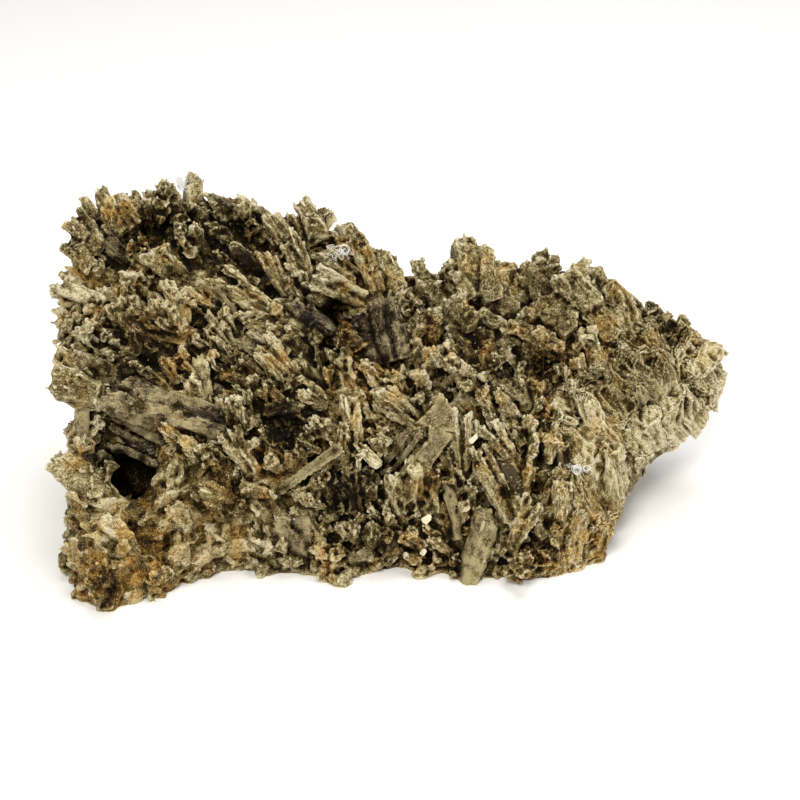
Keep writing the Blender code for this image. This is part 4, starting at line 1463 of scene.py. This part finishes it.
@dataclass
class Trimmings:
    """Ribs, tiny offshoots, grains and bare prisms on the mass.

    grain_size is the middle, the spread, the least and the most of half a grain's width, in mm.
    """

    mass: Aggregate
    maker: Maker
    rib_count: int = 2500
    offshoot_count: int = 3000
    grain_count: int = 12000
    dust_count: int = 400
    prism_count: int = 260
    grain_size: tuple = (0.2, 0.35, 0.12, 0.42)
    tree: BVHTree = field(init=False)

    def __post_init__(self) -> None:
        """Reads the mass's faces."""
        self.tree = BVHTree.FromPolygons(self.mass.batch.points.tolist(), self.mass.batch.faces.tolist())

    def picked(self, rng: Random, weight: Array, count: int) -> Array:
        """Points of the mass, drawn by weight, none where it faces down or lies on the ground.

        Args:
            rng: draws them.
            weight: how likely each point is.
            count: how many to draw.

        Returns:
            The points' numbers.
        """
        allowed = (self.mass.normals[:, 2] > -0.5) & (self.mass.batch.points[:, 2] > 2.5)
        weight = weight * allowed
        return rng.choice(len(weight), count, p=weight / weight.sum())

    def crowd(self, rng: Random, chosen: Array, tilt: float, widths: tuple[float, float],
              flatness: tuple[float, float], stretch: tuple[float, float], sunk: float) -> Crowd:
        """Blades at points of the mass, tilted from their own blade's axis towards the surface's normal.

        Args:
            rng: draws their differences.
            chosen: the numbers of the points.
            tilt: the most that they are tilted.
            widths: the range of their widths in mm.
            flatness: the range of thickness to width.
            stretch: the range of length to width.
            sunk: the share of the length that lies inside the mass.

        Returns:
            The blades.
        """
        count = len(chosen)
        batch, hosts, owner = self.mass.batch, self.mass.hosts, self.mass.owner[chosen]
        normals = self.mass.normals[chosen]
        tilted = hosts.axis[owner] + tilt * rng.random((count, 1)) * normals
        axis = unit(tilted + 0.07 * scatter(rng, count))
        width = rng.uniform(*widths, count)
        length = width * rng.uniform(*stretch, count)
        root = batch.points[chosen] - axis * (sunk * length)[:, None] - normals * (0.1 * width)[:, None]
        tint = np.clip(batch.look[chosen, 0] + rng.normal(0.05, 0.12, count), 0, 1)
        return Crowd(root, axis, unit(normals + 0.4 * scatter(rng, count)), width,
                     width * rng.uniform(*flatness, count), length, tint, 0.6 * batch.look[chosen, 1],
                     0.03 * length * rng.normal(0, 1, count))

    def rooted(self, crowd: Crowd) -> Crowd:
        """The blades whose roots lie inside the mass."""
        found = [self.tree.find_nearest(root) for root in crowd.root.tolist()]
        places, normals = np.array([hit[0] for hit in found]), np.array([hit[1] for hit in found])
        return crowd.chosen(((crowd.root - places) * normals).sum(axis=1) < 0)

    def grains(self, places: Array, normals: Array, look: Array,
               rng: Random) -> Batch:
        """Grains of the crust: uneven octahedra, 0.15 to 1 mm across.

        A grain's corners are its middle plus or minus a random length along each of three turned axes.

        Args:
            places: their middles in mm.
            normals: the surface's normals there.
            look: the look of the surface there.
            rng: draws their differences.

        Returns:
            The batch of grains.
        """
        count = len(places)
        size = drawn_sizes(rng, count, *self.grain_size)
        first = unit(normals + 0.6 * scatter(rng, count))
        second = unit(np.cross(first, scatter(rng, count)))
        third = np.cross(first, second)
        axes = np.stack([first, -first, second, -second, third, -third], axis=1)
        reach = size[:, None] * rng.uniform(0.6, 1.25, (count, 6))
        points = self.maker.kept((places[:, None] + axes * reach[..., None]).reshape(-1, 3))
        one = [(0, 2, 4), (2, 1, 4), (1, 3, 4), (3, 0, 4), (2, 0, 5), (1, 2, 5), (3, 1, 5), (0, 3, 5)]
        faces = repeated(np.array(one), count, 6)
        look = np.repeat(look, 6, axis=0)
        # Each grain's outer corner is painted paler and its inner corner darker: a painted highlight on top
        # and painted shade underneath.
        look[:, 0] += np.repeat(rng.normal(0.06, 0.14, count), 6) + np.tile([0.15, -0.2, 0, 0, 0, 0], count)
        look[:, 1] = 0
        return Batch(points, faces, look, points)

    def dust(self, crystals: Batch, rng: Random) -> Batch:
        """Grains in patches on bare crystals, spread by area over their faces."""
        corners = crystals.points[crystals.faces]
        normal = np.cross(corners[:, 1] - corners[:, 0], corners[:, 2] - corners[:, 0])
        area = np.linalg.norm(normal, axis=1)
        chosen = rng.choice(len(area), self.dust_count, p=area / area.sum())
        share = rng.dirichlet((1, 1, 1), self.dust_count)
        places = (corners[chosen] * share[..., None]).sum(axis=1)
        kept = lattice_noise(places, 2.5, 81) > -0.1
        look = np.tile([0.55, 0.0, 0.2, 1.0], (kept.sum(), 1))
        return self.grains(places[kept], unit(normal[chosen][kept]), look, rng)

    def build(self, rng: Random, crust: Material, crystals: Batch) -> None:
        """Makes the four kinds, with grains on the bare crystals as well.

        Args:
            rng: draws all of them.
            crust: the material.
            crystals: the bare crystals and plates.
        """
        batch, normals = self.mass.batch, self.mass.normals
        along, glass = batch.look[:, 3], batch.look[:, 1]
        stands_out = np.clip(self.mass.height - 0.3, 0.02, 1) ** 1.5
        seen_side = 0.3 + np.clip(normals @ np.array([-0.15, -0.6, 0.78]), 0, 1)
        ends = 1 - 0.9 * self.mass.surroundings.zones.lamellar(batch.points)
        weight = stands_out * seen_side * ends
        lengthwise = 1 - 0.85 * self.mass.surroundings.blocky(batch.points)
        chosen = self.picked(rng, weight * (0.3 + along) * lengthwise, self.rib_count)
        ribs = self.crowd(rng, chosen, 0.06, (0.35, 0.8), (0.5, 1.0), (2.5, 5.5), 0.75)
        self.maker.blades(self.rooted(ribs), FINE, rng).make("rib_blades", crust)
        chosen = self.picked(rng, weight * along ** 2, self.offshoot_count)
        offshoots = self.crowd(rng, chosen, 0.8, (0.4, 1.1), (0.6, 1.0), (0.8, 1.6), 0.5)
        self.maker.blades(self.rooted(offshoots), TINY, rng).make("offshoot_blades", crust)
        chosen = self.picked(rng, stands_out * seen_side * (0.3 + along) * (1 - 0.8 * np.minimum(glass, 1)),
                             self.grain_count)
        grains = self.grains(batch.points[chosen], normals[chosen], batch.look[chosen], rng)
        Batch.joined([grains, self.dust(crystals, rng)]).make("crust_grains", crust)
        chosen = self.picked(rng, seen_side * (0.2 + glass) * ends, self.prism_count)
        prisms = self.crowd(rng, chosen, 0.2, (0.7, 1.9), (0.4, 0.8), (1.6, 3.5), 0.7)
        prisms = replace(prisms, glass=rng.uniform(0.8, 2.0, len(prisms)), tint=0.8 * prisms.tint)
        self.maker.blades(self.rooted(prisms), BARE, rng).make("bare_prisms", crust)


# Crystals that stand out in the photograph


class Look(Enum):
    """What a single crystal's surface is like."""

    CRUSTED = "coated with grains, and merged with the mass"
    LUMP = "a rounded and crusted lump, merged with the mass"
    GLASSY = "bare, dark and glossy"
    CLOUDY = "bare, grey and smooth, and merged with the mass"
    CREAM = "a pale chip"


@dataclass(frozen=True)
class Crystal:
    """A single crystal: the pixels of its root and its tip, its width in pixels and what it is like.

    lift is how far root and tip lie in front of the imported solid, in mm, and bend how far it bows sideways.
    The root of a crystal that is merged with the mass is then sunk into it.
    """

    root: tuple[float, float]
    tip: tuple[float, float]
    width: float
    look: Look = Look.CRUSTED
    tint: float = 0.5
    flatness: float = 0.6
    lift: tuple[float, float] = (0.0, 1.2)
    bend: float = 0.0


def alike(look: Look, *rows: tuple) -> tuple[Crystal, ...]:
    """Crystals of one look, from rows of their other values in order."""
    return tuple(Crystal(*row[:3], look, *row[3:]) for row in rows)


@dataclass(frozen=True)
class Plate:
    """A thin plate: the pixels of its corners in order, its turns, its lift in mm and its tint.

    The turns add to its normal, which faces the camera, the first to the right and the second up.
    """

    corners: tuple[tuple[float, float], ...]
    turn: tuple[float, float] = (0.0, 0.0)
    lift: float = 1.5
    tint: float = 0.5


@dataclass
class Landmarks:
    """Single crystals, plates and chips where the photograph shows them."""

    surroundings: Surroundings
    maker: Maker
    root_depth: float = 3.0
    root_sunk: float = 2.2
    lamella: float = 1.5
    plate_thickness: float = 0.6
    plate_gap: float = 4.0
    grain: float = 1.2
    beyond_lean: float = 0.3
    crystals: tuple = (
        *alike(
            Look.CLOUDY,
            ((212, 421), (103, 386), 27, 0.5, 0.5, (0.3, 2.5)),
            ((160, 441), (108, 417), 11, 0.15, 0.9, (1.0, 0.5)),
            ((153, 453), (108, 431), 8, 0.1, 0.9, (0.5, 0.0)),
            ((159, 466), (109, 443), 10, 0.1, 0.9, (0.5, 0.0)), ((81, 421), (88, 380), 12, 0.6),
            ((117, 475), (99, 451), 11, 0.5, 0.7, (-0.5, 1.0)),
            ((127, 508), (129, 485), 6, 0.6, 0.4, (-1.0, 0.0)),
            ((207, 407), (201, 358), 15, 0.8, 0.6, (0.3, 1.5)), ((128, 262), (106, 240), 14, 0.3),
            ((280, 236), (261, 207), 10, 0.45), ((240, 207), (205, 193), 8, 0.3, 0.8, (-0.5, 0.5)),
            ((322, 228), (329, 208), 14, 0.8, 0.7), ((230, 306), (211, 287), 9, 0.6, 0.6, (0.5, 2.0)),
            ((306, 317), (291, 303), 14, 0.1, 0.5), ((325, 325), (309, 310), 13, 0.1, 0.5),
            ((386, 350), (372, 297), 40, 0.15, 0.6, (-0.5, 0.8)),
            ((275, 352), (243, 335), 18, 0.4, 0.3, (0.3, 1.5)),
            ((280, 488), (342, 446), 13, 0.8, 0.25, (1.5, 2.0)),
            ((455, 531), (441, 478), 9, 0.7, 0.7, (0.8, 1.6), 0.8),
            ((470, 573), (488, 507), 20, 0.7, 0.8, (0.8, 1.5)), ((390, 461), (417, 429), 6, 0.45, 0.8),
            ((397, 466), (424, 433), 6, 0.35, 0.8), ((405, 469), (430, 440), 6, 0.4, 0.8),
            ((300, 546), (286, 509), 24, 0.75, 0.25, (0.5, 1.5)),
            ((641, 314), (630, 303), 11, 0.0, 0.8, (-0.5, 0.8)),
            ((671, 320), (662, 312), 10, 0.0, 0.8, (-0.5, 0.8)), ((655, 405), (634, 398), 8, 0.5, 0.5),
        ),
        *alike(
            Look.CRUSTED,
            ((158, 431), (109, 409), 7, 0.75, 0.6, (0.5, 2.0)),
            ((109, 494), (86, 463), 13, 0.65, 0.4, (0.5, 1.8)),
            ((94, 428), (106, 417), 10, 1.0, 0.8, (0.5, 1.5)),
            ((229, 500), (200, 484), 10, 0.6, 0.6, (0.3, 1.5)), ((170, 374), (163, 356), 9, 0.7),
            ((160, 206), (149, 186), 13, 0.55), ((142, 212), (127, 187), 11, 0.35),
            ((128, 218), (110, 190), 15, 0.6), ((112, 215), (98, 189), 13),
            ((98, 225), (80, 198), 15, 0.55), ((84, 262), (67, 240), 14), ((80, 292), (56, 276), 16, 0.65),
            ((80, 372), (56, 352), 14, 0.55), ((128, 256), (103, 226), 13, 0.6),
            ((150, 262), (128, 232), 15, 0.55), ((222, 222), (204, 200), 15, 0.35),
            ((250, 222), (228, 190), 18, 0.6), ((262, 230), (247, 200), 15, 0.6),
            ((300, 240), (282, 210), 18, 0.6), ((375, 282), (358, 236), 16, 0.6),
            ((240, 268), (218, 246), 16, 0.55), ((300, 262), (284, 232), 14, 0.6),
            ((282, 282), (264, 250), 15, 0.65), ((215, 300), (190, 282), 18, 0.6),
            ((236, 425), (230, 395), 15, 0.75), ((250, 470), (226, 428), 20, 0.65),
            ((195, 402), (183, 380), 16, 0.75), ((352, 430), (345, 390), 14, 0.7),
            ((356, 505), (350, 420), 12, 0.7, 0.6, (0.8, 1.5)), ((372, 420), (362, 392), 10),
            ((316, 230), (298, 198), 14, 0.6), ((325, 226), (337, 214), 8, 0.7),
            ((262, 308), (212, 272), 19, 0.6, 0.6, (0.3, 2.0)),
            ((353, 293), (313, 273), 17, 0.6, 0.6, (0.3, 1.5)),
            ((358, 352), (338, 328), 19, 0.85, 0.6, (0.0, 2.0)),
            ((281, 369), (258, 342), 21, 0.85, 0.6, (0.3, 1.5)),
            ((289, 387), (265, 359), 10, 0.7, 0.6, (0.5, 1.8)),
            ((462, 464), (463, 403), 12, 0.8, 0.8, (1.0, 2.5)),
            ((464, 464), (476, 420), 9, 0.75, 0.8, (1.0, 2.5)),
            ((519, 469), (483, 422), 13, 0.55, 0.6, (0.8, 2.5)),
            ((507, 509), (474, 441), 18, 0.7, 0.6, (0.5, 1.8)),
            ((514, 544), (537, 495), 12, 0.6, 0.6, (0.6, 2.0)),
            ((404, 515), (398, 457), 22, 0.6, 0.3, (0.5, 1.5)),
            ((446, 552), (427, 537), 10, 0.6, 0.6, (0.3, 1.2)),
            ((595, 422), (578, 387), 9, 0.75, 0.6, (0.3, 1.2)),
            ((591, 366), (580, 327), 19, 0.6, 0.6, (0.3, 1.5)),
        ),
        *alike(
            Look.LUMP,
            ((100, 497), (52, 459), 28, 0.65, 0.8, (0.0, 0.5)), ((90, 394), (48, 382), 30, 0.7, 0.8),
            ((112, 507), (96, 499), 15, 0.95), ((122, 538), (97, 516), 18, 0.6),
            ((198, 524), (170, 510), 18, 0.6), ((192, 200), (195, 173), 16, 0.5, 0.9),
            ((172, 204), (163, 182), 17, 0.6), ((84, 240), (64, 220), 15, 0.65), ((94, 242), (78, 216), 20),
            ((118, 222), (106, 202), 20, 0.45), ((140, 218), (132, 200), 20), ((160, 214), (151, 197), 18),
            ((222, 216), (214, 199), 16), ((258, 224), (242, 206), 20, 0.55), ((278, 230), (264, 213), 18),
            ((318, 238), (312, 216), 20), ((90, 285), (70, 262), 16, 0.6),
            ((366, 262), (345, 220), 18, 0.55), ((402, 290), (375, 246), 20, 0.55),
            ((397, 285), (390, 252), 12, 0.6), ((462, 292), (441, 266), 24),
            ((520, 292), (492, 262), 30, 0.6), ((545, 296), (520, 268), 24, 0.4),
            ((586, 302), (560, 268), 28, 0.6), ((632, 318), (604, 284), 26),
            ((440, 300), (422, 276), 20, 0.45), ((505, 310), (478, 286), 26, 0.4),
            ((566, 322), (536, 296), 28, 0.55), ((610, 330), (584, 306), 24, 0.45),
            ((468, 320), (446, 298), 24, 0.6), ((424, 285), (416, 258), 18),
            ((468, 290), (462, 240), 26, 0.6, 0.9), ((490, 290), (480, 243), 22, 0.55, 0.9),
            ((512, 285), (504, 255), 22, 0.6), ((462, 285), (451, 256), 17, 0.6),
            ((545, 280), (541, 249), 18, 0.35), ((556, 278), (554, 254), 10, 0.4),
            ((584, 290), (576, 262), 20, 0.65), ((604, 295), (592, 264), 16, 0.6),
            ((640, 312), (622, 290), 14, 0.6), ((672, 345), (688, 318), 24, 0.6),
            ((688, 355), (703, 329), 24, 0.65), ((698, 366), (717, 348), 24, 0.6),
            ((700, 378), (722, 372), 30, 0.65), ((695, 392), (717, 402), 28, 0.7),
            ((684, 400), (702, 428), 28, 0.6), ((668, 408), (686, 436), 28, 0.7),
            ((650, 420), (664, 446), 26, 0.6), ((182, 312), (163, 276), 15, 0.8),
            ((165, 272), (143, 252), 18, 0.6),
        ),
        *alike(
            Look.GLASSY,
            ((516, 486), (505, 462), 10, 0.6, 0.5, (0.0, 1.0)),
        ),
        *alike(
            Look.CREAM,
            ((424, 520), (431, 515), 6, 0.7, 0.5, (1.0, 2.0)),
            ((405, 557), (407, 553), 5, 0.8, 0.7, (0.5, 1.2)),
            ((423, 553), (426, 549), 5, 0.8, 0.7, (0.5, 1.2)),
            ((471, 441), (477, 434), 5, 0.9, 0.4, (3.0, 3.5)),
        ),
    )
    plates: tuple = (
        Plate(((416, 423), (435, 404), (439, 391), (447, 400), (459, 424), (454, 433), (432, 429)),
              (0.3, 0.2), 3.0, 0.55),
        Plate(((429, 430), (437, 424), (452, 436), (431, 468), (418, 459), (429, 444)),
              (-0.3, -0.1), 3.0, 0.5),
    )

    def ends(self, crystal: Crystal) -> tuple[Array, Array]:
        """A crystal's root and tip in mm, each near its pixel's ray and lifted towards the camera.

        Args:
            crystal: the crystal.

        Returns:
            The root and the tip.
        """
        view = self.surroundings.view
        sunk = 0.0 if crystal.look in (Look.GLASSY, Look.CREAM) else self.root_sunk
        root = self.surroundings.seen(*crystal.root) - view.forward * (crystal.lift[0] - sunk)
        hit = self.surroundings.hit(*crystal.tip)
        if hit is not None:
            return root, hit - view.forward * crystal.lift[1]
        ray = view.ray(*crystal.tip)
        span = np.hypot(*(np.array(crystal.tip) - crystal.root)) * self.pixel_size
        depth = (root - view.place) @ view.forward + self.beyond_lean * span
        return root, view.place + ray * depth / (ray @ view.forward)

    @property
    def pixel_size(self) -> float:
        """About how many mm a pixel shows on the cluster."""
        view = self.surroundings.view
        return view.distance * view.sensor / view.lens / view.pixels

    def crowd(self, look: Look) -> Crowd:
        """All the crystals of one look, each as one blade."""
        chosen = [crystal for crystal in self.crystals if crystal.look is look]
        ends = np.array([self.ends(crystal) for crystal in chosen])
        root, tip = ends[:, 0], ends[:, 1]
        axis = unit(tip - root)
        width = np.array([crystal.width for crystal in chosen]) * self.pixel_size
        depth = np.minimum(self.root_depth, 1.2 * width) * (0.3 if look is Look.CREAM else 1.0)
        count = len(chosen)
        glass = 0.05 if look in (Look.CRUSTED, Look.LUMP) else 2.0
        facing = np.tile(-self.surroundings.view.forward, (count, 1))
        return Crowd(root - axis * depth[:, None], axis, facing, width,
                     width * np.array([crystal.flatness for crystal in chosen]),
                     np.linalg.norm(tip - root, axis=1) + depth,
                     np.array([crystal.tint for crystal in chosen]), np.full(count, glass),
                     np.array([crystal.bend for crystal in chosen]))

    def cleared(self, hosts: Crowd) -> Crowd:
        """The hosts cut short where the picture shows a crystal or a plate, or a pit.

        Each host is sampled along its length. It ends before its first sample whose pixel is near a crystal's
        middle line, a line from a plate's middle to a corner, or a pit, whichever of the two is in front.

        Args:
            hosts: the blades to cut.

        Returns:
            The blades, each at least 0.4 mm long.
        """
        view = self.surroundings.view
        shares = np.linspace(0.1, 1.0, 12)
        samples = hosts.root[:, None] + hosts.axis[:, None] * (hosts.length[:, None] * shares)[..., None]
        pixels = view.project(samples.reshape(-1, 3))
        lines = [(*self.ends(crystal), 0.5 * crystal.width + 1) for crystal in self.crystals]
        for plate in self.plates:
            corners = self.corners(plate)
            lines += [(corners.mean(axis=0), corner, self.plate_gap) for corner in corners]
        for middle, radius, depth in self.surroundings.centres["pits"]:
            bottom = middle + view.forward * depth
            lines.append((bottom, bottom + 0.01, 1.1 * radius / self.pixel_size))
        blocked = np.zeros(len(pixels), dtype=bool)
        for start, end, radius in lines:
            a, b = view.project(np.array([start, end]))
            way = b - a
            t = np.clip((pixels - a) @ way / max(way @ way, 1e-9), 0, 1)
            blocked |= np.linalg.norm(pixels - a - t[:, None] * way, axis=1) < radius
        blocked = blocked.reshape(len(hosts), -1)
        first = np.where(blocked.any(axis=1), blocked.argmax(axis=1), len(shares))
        cut = hosts.length * (shares[np.minimum(first, 11)] - 0.1)
        return replace(hosts, length=np.maximum(np.where(first < len(shares), cut, hosts.length), 0.4))

    def corners(self, plate: Plate) -> Array:
        """A plate's corners in mm, where their rays meet its plane, which passes in front of the solid."""
        view = self.surroundings.view
        middle = self.surroundings.seen(*np.mean(plate.corners, axis=0)) - view.forward * plate.lift
        normal = unit(-view.forward + plate.turn[0] * np.array([1.0, 0, 0]) + plate.turn[1] * view.up)
        rays = np.array([view.ray(*corner) for corner in plate.corners])
        reach = ((middle - view.place) @ normal) / (rays @ normal)
        return view.place + rays * reach[:, None]

    def plate(self, plate: Plate, rng: Random) -> Batch:
        """A plate's mesh: its outline drawn at a few sizes round its middle, as two sheets a thickness apart.

        A point is middle + (outline(u) - middle) * v + normal * (side * thickness / 2 + unevenness), and the
        outline is the polygon of its corners, nicked at random.

        Args:
            plate: the plate.
            rng: nicks its outline.

        Returns:
            The batch of its two sheets.
        """
        corners = self.corners(plate)
        middle = corners.mean(axis=0)
        normal = unit(np.cross(corners[1] - corners[0], corners[2] - corners[0]))
        steps, sizes = 8, np.array([1.0, 0.96, 0.7, 0.4, 0.1])
        share = np.arange(steps)[:, None] / steps
        outline = np.concatenate([a + (b - a) * share for a, b in zip(corners, np.roll(corners, -1, axis=0))])
        outline = middle + (outline - middle) * (1 + 0.05 * rng.normal(0, 1, (len(outline), 1)))
        count = len(outline)
        sheet = middle + (outline[None] - middle) * sizes[:, None, None]
        uneven = 0.12 * lattice_noise(sheet.reshape(-1, 3), 1.2, 71).reshape(len(sizes), count, 1)
        half = 0.5 * self.plate_thickness * np.array([0.6, 1, 1, 1, 1])[:, None, None]
        front, back = sheet + normal * (uneven + half), sheet + normal * (uneven - half)
        points = np.concatenate([back[::-1], front]).reshape(-1, 3)
        rings = 2 * len(sizes)
        faces = closed_faces(rings, count)
        if (np.cross(front[0, 1] - front[0, 0], back[0, 0] - front[0, 0]) @ (middle - outline[0])) < 0:
            faces = faces[:, ::-1]
        # The rim is painted paler: a painted highlight along the plate's edge.
        rim_highlight = np.concatenate([sizes[::-1], sizes])[:, None] > 0.9
        tone = np.broadcast_to(plate.tint + 0.2 * rim_highlight, (rings, count)).ravel()
        look = self.maker.look(points, tone, np.full(len(points), 1.5), np.ones(len(points)))
        return Batch(points, faces, look, points / self.grain)

    def build(self, rng: Random, crust: Material) -> Batch:
        """Makes the crystals that aren't merged with the mass, the plates and the chips.

        Returns:
            The glassy crystals and the plates, for grains to lie on.
        """
        crystals = self.maker.blades(self.crowd(Look.GLASSY), LARGE, rng)
        plates = Batch.joined([self.plate(plate, rng) for plate in self.plates])
        crystals.make("glassy_crystals", GLASSY.make())
        self.maker.blades(self.crowd(Look.CREAM), CHIP, rng).make("cream_chips", CREAM_CHIP.make())
        plates.make("khaki_plates", crust)
        return Batch.joined([crystals, plates])

    def merged(self, rng: Random) -> Crowd:
        """The blades that are merged with the mass, as lamellae, wider ones where they are bare."""
        crusted, cloudy = self.crowd(Look.CRUSTED), self.crowd(Look.CLOUDY)
        return Crowd.joined([crusted.split(np.full(len(crusted), self.lamella), rng),
                             cloudy.split(np.full(len(cloudy), 2 * self.lamella), rng)])


# Fibres


@dataclass(frozen=True)
class Tuft:
    """A wisp: its CAD node, how many loose threads it has, and its rings.

    A ring is its middle across and up in the picture, from the node's middle, and its radius, all in mm.
    """

    node: str
    threads: int
    rings: tuple = ()


@dataclass
class FibreTufts:
    """The wisps of white fibre, loose curls of threads in the room of their CAD nodes."""

    steps: int = 36
    radius: float = 0.065
    spread: float = 1.3
    ring_threads: int = 4
    tufts: tuple = (
        Tuft("fibre_tuft_crest", 16, ((1.5, 0.8, 1.1),)),
        Tuft("fibre_tuft_top", 30),
        Tuft("fibre_tuft_side", 5, ((-0.1, 0.1, 1.0), (2.0, 0.4, 0.6))),
    )

    def threads_in(self, low: Array, high: Array, count: int,
                   rng: Random) -> Array:
        """Curled threads in a ball 1.3 times as wide, deep and high as a box.

        A thread is a start plus three waves of falling height along every axis, in shares of the ball's
        half-size, and is then drawn in to the ball: a point at distance r goes to tanh(r).

        Args:
            low: the box's lowest corner.
            high: its highest corner.
            count: how many threads.
            rng: draws them.

        Returns:
            The points of each thread.
        """
        t = np.linspace(0, 1, self.steps)[None, :, None]
        path = rng.normal(0, 0.25, (count, 1, 3))
        for wave, height in ((0.4, 0.5), (1.3, 0.18), (2.6, 0.08)):
            phase = rng.uniform(0, 2 * math.pi, (count, 1, 3))
            speed = wave * rng.uniform(0.6, 1.4, (count, 1, 3))
            path = path + height * np.sin(2 * math.pi * speed * t + phase)
        reach = np.maximum(np.linalg.norm(path, axis=-1, keepdims=True), 1e-6)
        return (low + high) / 2 + path * np.tanh(reach) / reach * self.spread * (high - low) / 2

    def ring(self, middle: Array, radius: float, forward: Array,
             rng: Random) -> Array:
        """Threads in a ring that faces the camera: middle + radius * (cos a, sin a), each its own way.

        Args:
            middle: the ring's middle in mm.
            radius: its radius in mm.
            forward: the way the camera looks.
            rng: draws the threads.

        Returns:
            The points of each thread.
        """
        t = np.linspace(0, 1, self.steps)
        sides = np.array([1.0, 0, 0]), np.cross([1.0, 0, 0], forward)
        paths = []
        for _ in range(self.ring_threads):
            angle = 2 * math.pi * (t * rng.uniform(0.7, 1.1) + rng.random())
            size = radius * rng.uniform(0.8, 1.1) * (1 + 0.15 * np.sin(2 * angle + 6 * rng.random()))[:, None]
            wander = 0.15 * rng.normal(0, 1, 3) - forward * 0.3 * np.sin(angle)[:, None]
            round_it = np.cos(angle)[:, None] * sides[0] + np.sin(angle)[:, None] * sides[1]
            paths.append(middle + wander + size * round_it)
        return np.array(paths)

    def tubes(self, paths: Array) -> tuple[Array, Array]:
        """Three-sided tubes round paths, thinner at both ends: path + radius * (cos a * n + sin a * b)."""
        count, steps, _ = paths.shape
        tangent = unit(np.gradient(paths, axis=1))
        normal = unit(np.cross(tangent, np.array([0.31, 0.52, 0.79])))
        binormal = np.cross(tangent, normal)
        angle = np.arange(3) * 2 * math.pi / 3
        size = self.radius * np.sin(np.linspace(0.25, math.pi - 0.25, steps)) ** 0.5
        ring = np.cos(angle)[:, None] * normal[:, :, None] + np.sin(angle)[:, None] * binormal[:, :, None]
        points = (paths[:, :, None] + ring * size[None, :, None, None]).reshape(-1, 3)
        return points, repeated(closed_faces(steps, 3)[:, [0, 2, 1]], count, steps * 3)

    def build(self, view: PhotoView, rng: Random) -> None:
        """Makes each tuft, with its rings of threads at the side that the camera sees."""
        material = FibreFinish().make()
        for tuft in self.tufts:
            name = tuft.node
            low, high = (np.array(corner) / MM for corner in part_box(name))
            paths = [self.threads_in(low, high, tuft.threads, rng)]
            for across, up, radius in tuft.rings:
                middle = (low + high) / 2 + np.array([across, 0, 0]) + view.up * up - view.forward * 1.8
                paths.append(self.ring(middle, radius, view.forward, rng))
            piece = make_mesh(name + "_threads", *self.tubes(np.concatenate(paths)), smooth=True)
            piece.data.materials.append(material)
            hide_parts(name)
            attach(piece, ROOT_BODY)
            log.info("%s: %d triangles", piece.name, len(piece.data.polygons))


# The studio


@dataclass
class Studio:
    """A pale floor and soft lights."""

    floor_size: float = 4000.0
    floor_colour: str = "#fbfbfa"
    even_light: float = 0.25

    def build(self) -> None:
        """Makes the floor, the lights and the even light all round."""
        half = self.floor_size / 2
        corners = np.array([(-half, -half, 0), (half, -half, 0), (half, half, 0), (-half, half, 0)])
        floor = make_mesh("studio_floor", corners, np.array([[0, 1, 2, 3]]))
        material, _, shader = blank_material("studio_floor")
        connect(shader, {"Base Color": linear(self.floor_colour), "Roughness": 0.9})
        floor.data.materials.append(material)
        self.area_light("key_light", (-140, -700, 700), 260, 7.2, "#fffbf3")
        self.area_light("top_light", (100, 120, 800), 600, 4.8, "#fffdfa")
        self.area_light("side_light", (650, -350, 350), 300, 2.1, "#fbfaff")
        world = bpy.data.worlds.new("studio")
        bpy.context.scene.world = world
        world.use_nodes = True
        background = world.node_tree.nodes["Background"]
        connect(background, {"Color": linear("#ffffff"), "Strength": self.even_light})
        bpy.context.scene.view_settings.view_transform = "Standard"

    @staticmethod
    def area_light(name: str, place: tuple[float, float, float], size: float, power: float,
                   colour: str) -> None:
        """A square area light that faces the cluster's middle.

        Args:
            name: the light's name.
            place: where it stands, in mm.
            size: its side in mm.
            power: its power in watts.
            colour: its sRGB hex colour.
        """
        light = bpy.data.lights.new(name, "AREA")
        light.size = size * MM
        light.energy = power
        light.color = linear(colour)[:3]
        obj = bpy.data.objects.new(name, light)
        obj.location = Vector(place) * MM
        aim = Vector((0, 0, 30)) - Vector(place)
        obj.rotation_euler = aim.to_track_quat("-Z", "Y").to_euler()
        bpy.context.scene.collection.objects.link(obj)


def main() -> None:
    """Builds the scene: frame, core, bundles, mass, single crystals, trimmings, fibres and studio."""
    logging.basicConfig(level=logging.INFO, format="%(message)s")
    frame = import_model()
    view = PhotoView()
    view.add_camera()
    surroundings = Surroundings(view, Zones(), frame["nodes"][CLUSTER_NODE])
    core = Core(surroundings)
    core.build()
    rng = np.random.default_rng(SEED)
    maker = Maker(surroundings)
    landmarks = Landmarks(surroundings, maker)
    field_of_blades = HostField(surroundings, core)
    lamellae, lumps = field_of_blades.grow(rng)
    hosts = Crowd.joined([landmarks.cleared(lamellae), landmarks.merged(rng)])
    lumps = Crowd.joined([landmarks.cleared(lumps), landmarks.crowd(Look.LUMP)])
    small = landmarks.cleared(field_of_blades.knobs(Crowd.joined([hosts, lumps]), rng))
    knobs = Crowd.joined([lumps, small])
    mass = Aggregate(surroundings, core, maker, hosts, knobs)
    mass.build(rng)
    crust = CrustFinish().make()
    mass.make(crust)
    crystals = landmarks.build(rng, crust)
    Trimmings(mass, maker).build(rng, crust, crystals)
    FibreTufts().build(view, rng)
    Studio().build()


if __name__ == "__main__":
    main()
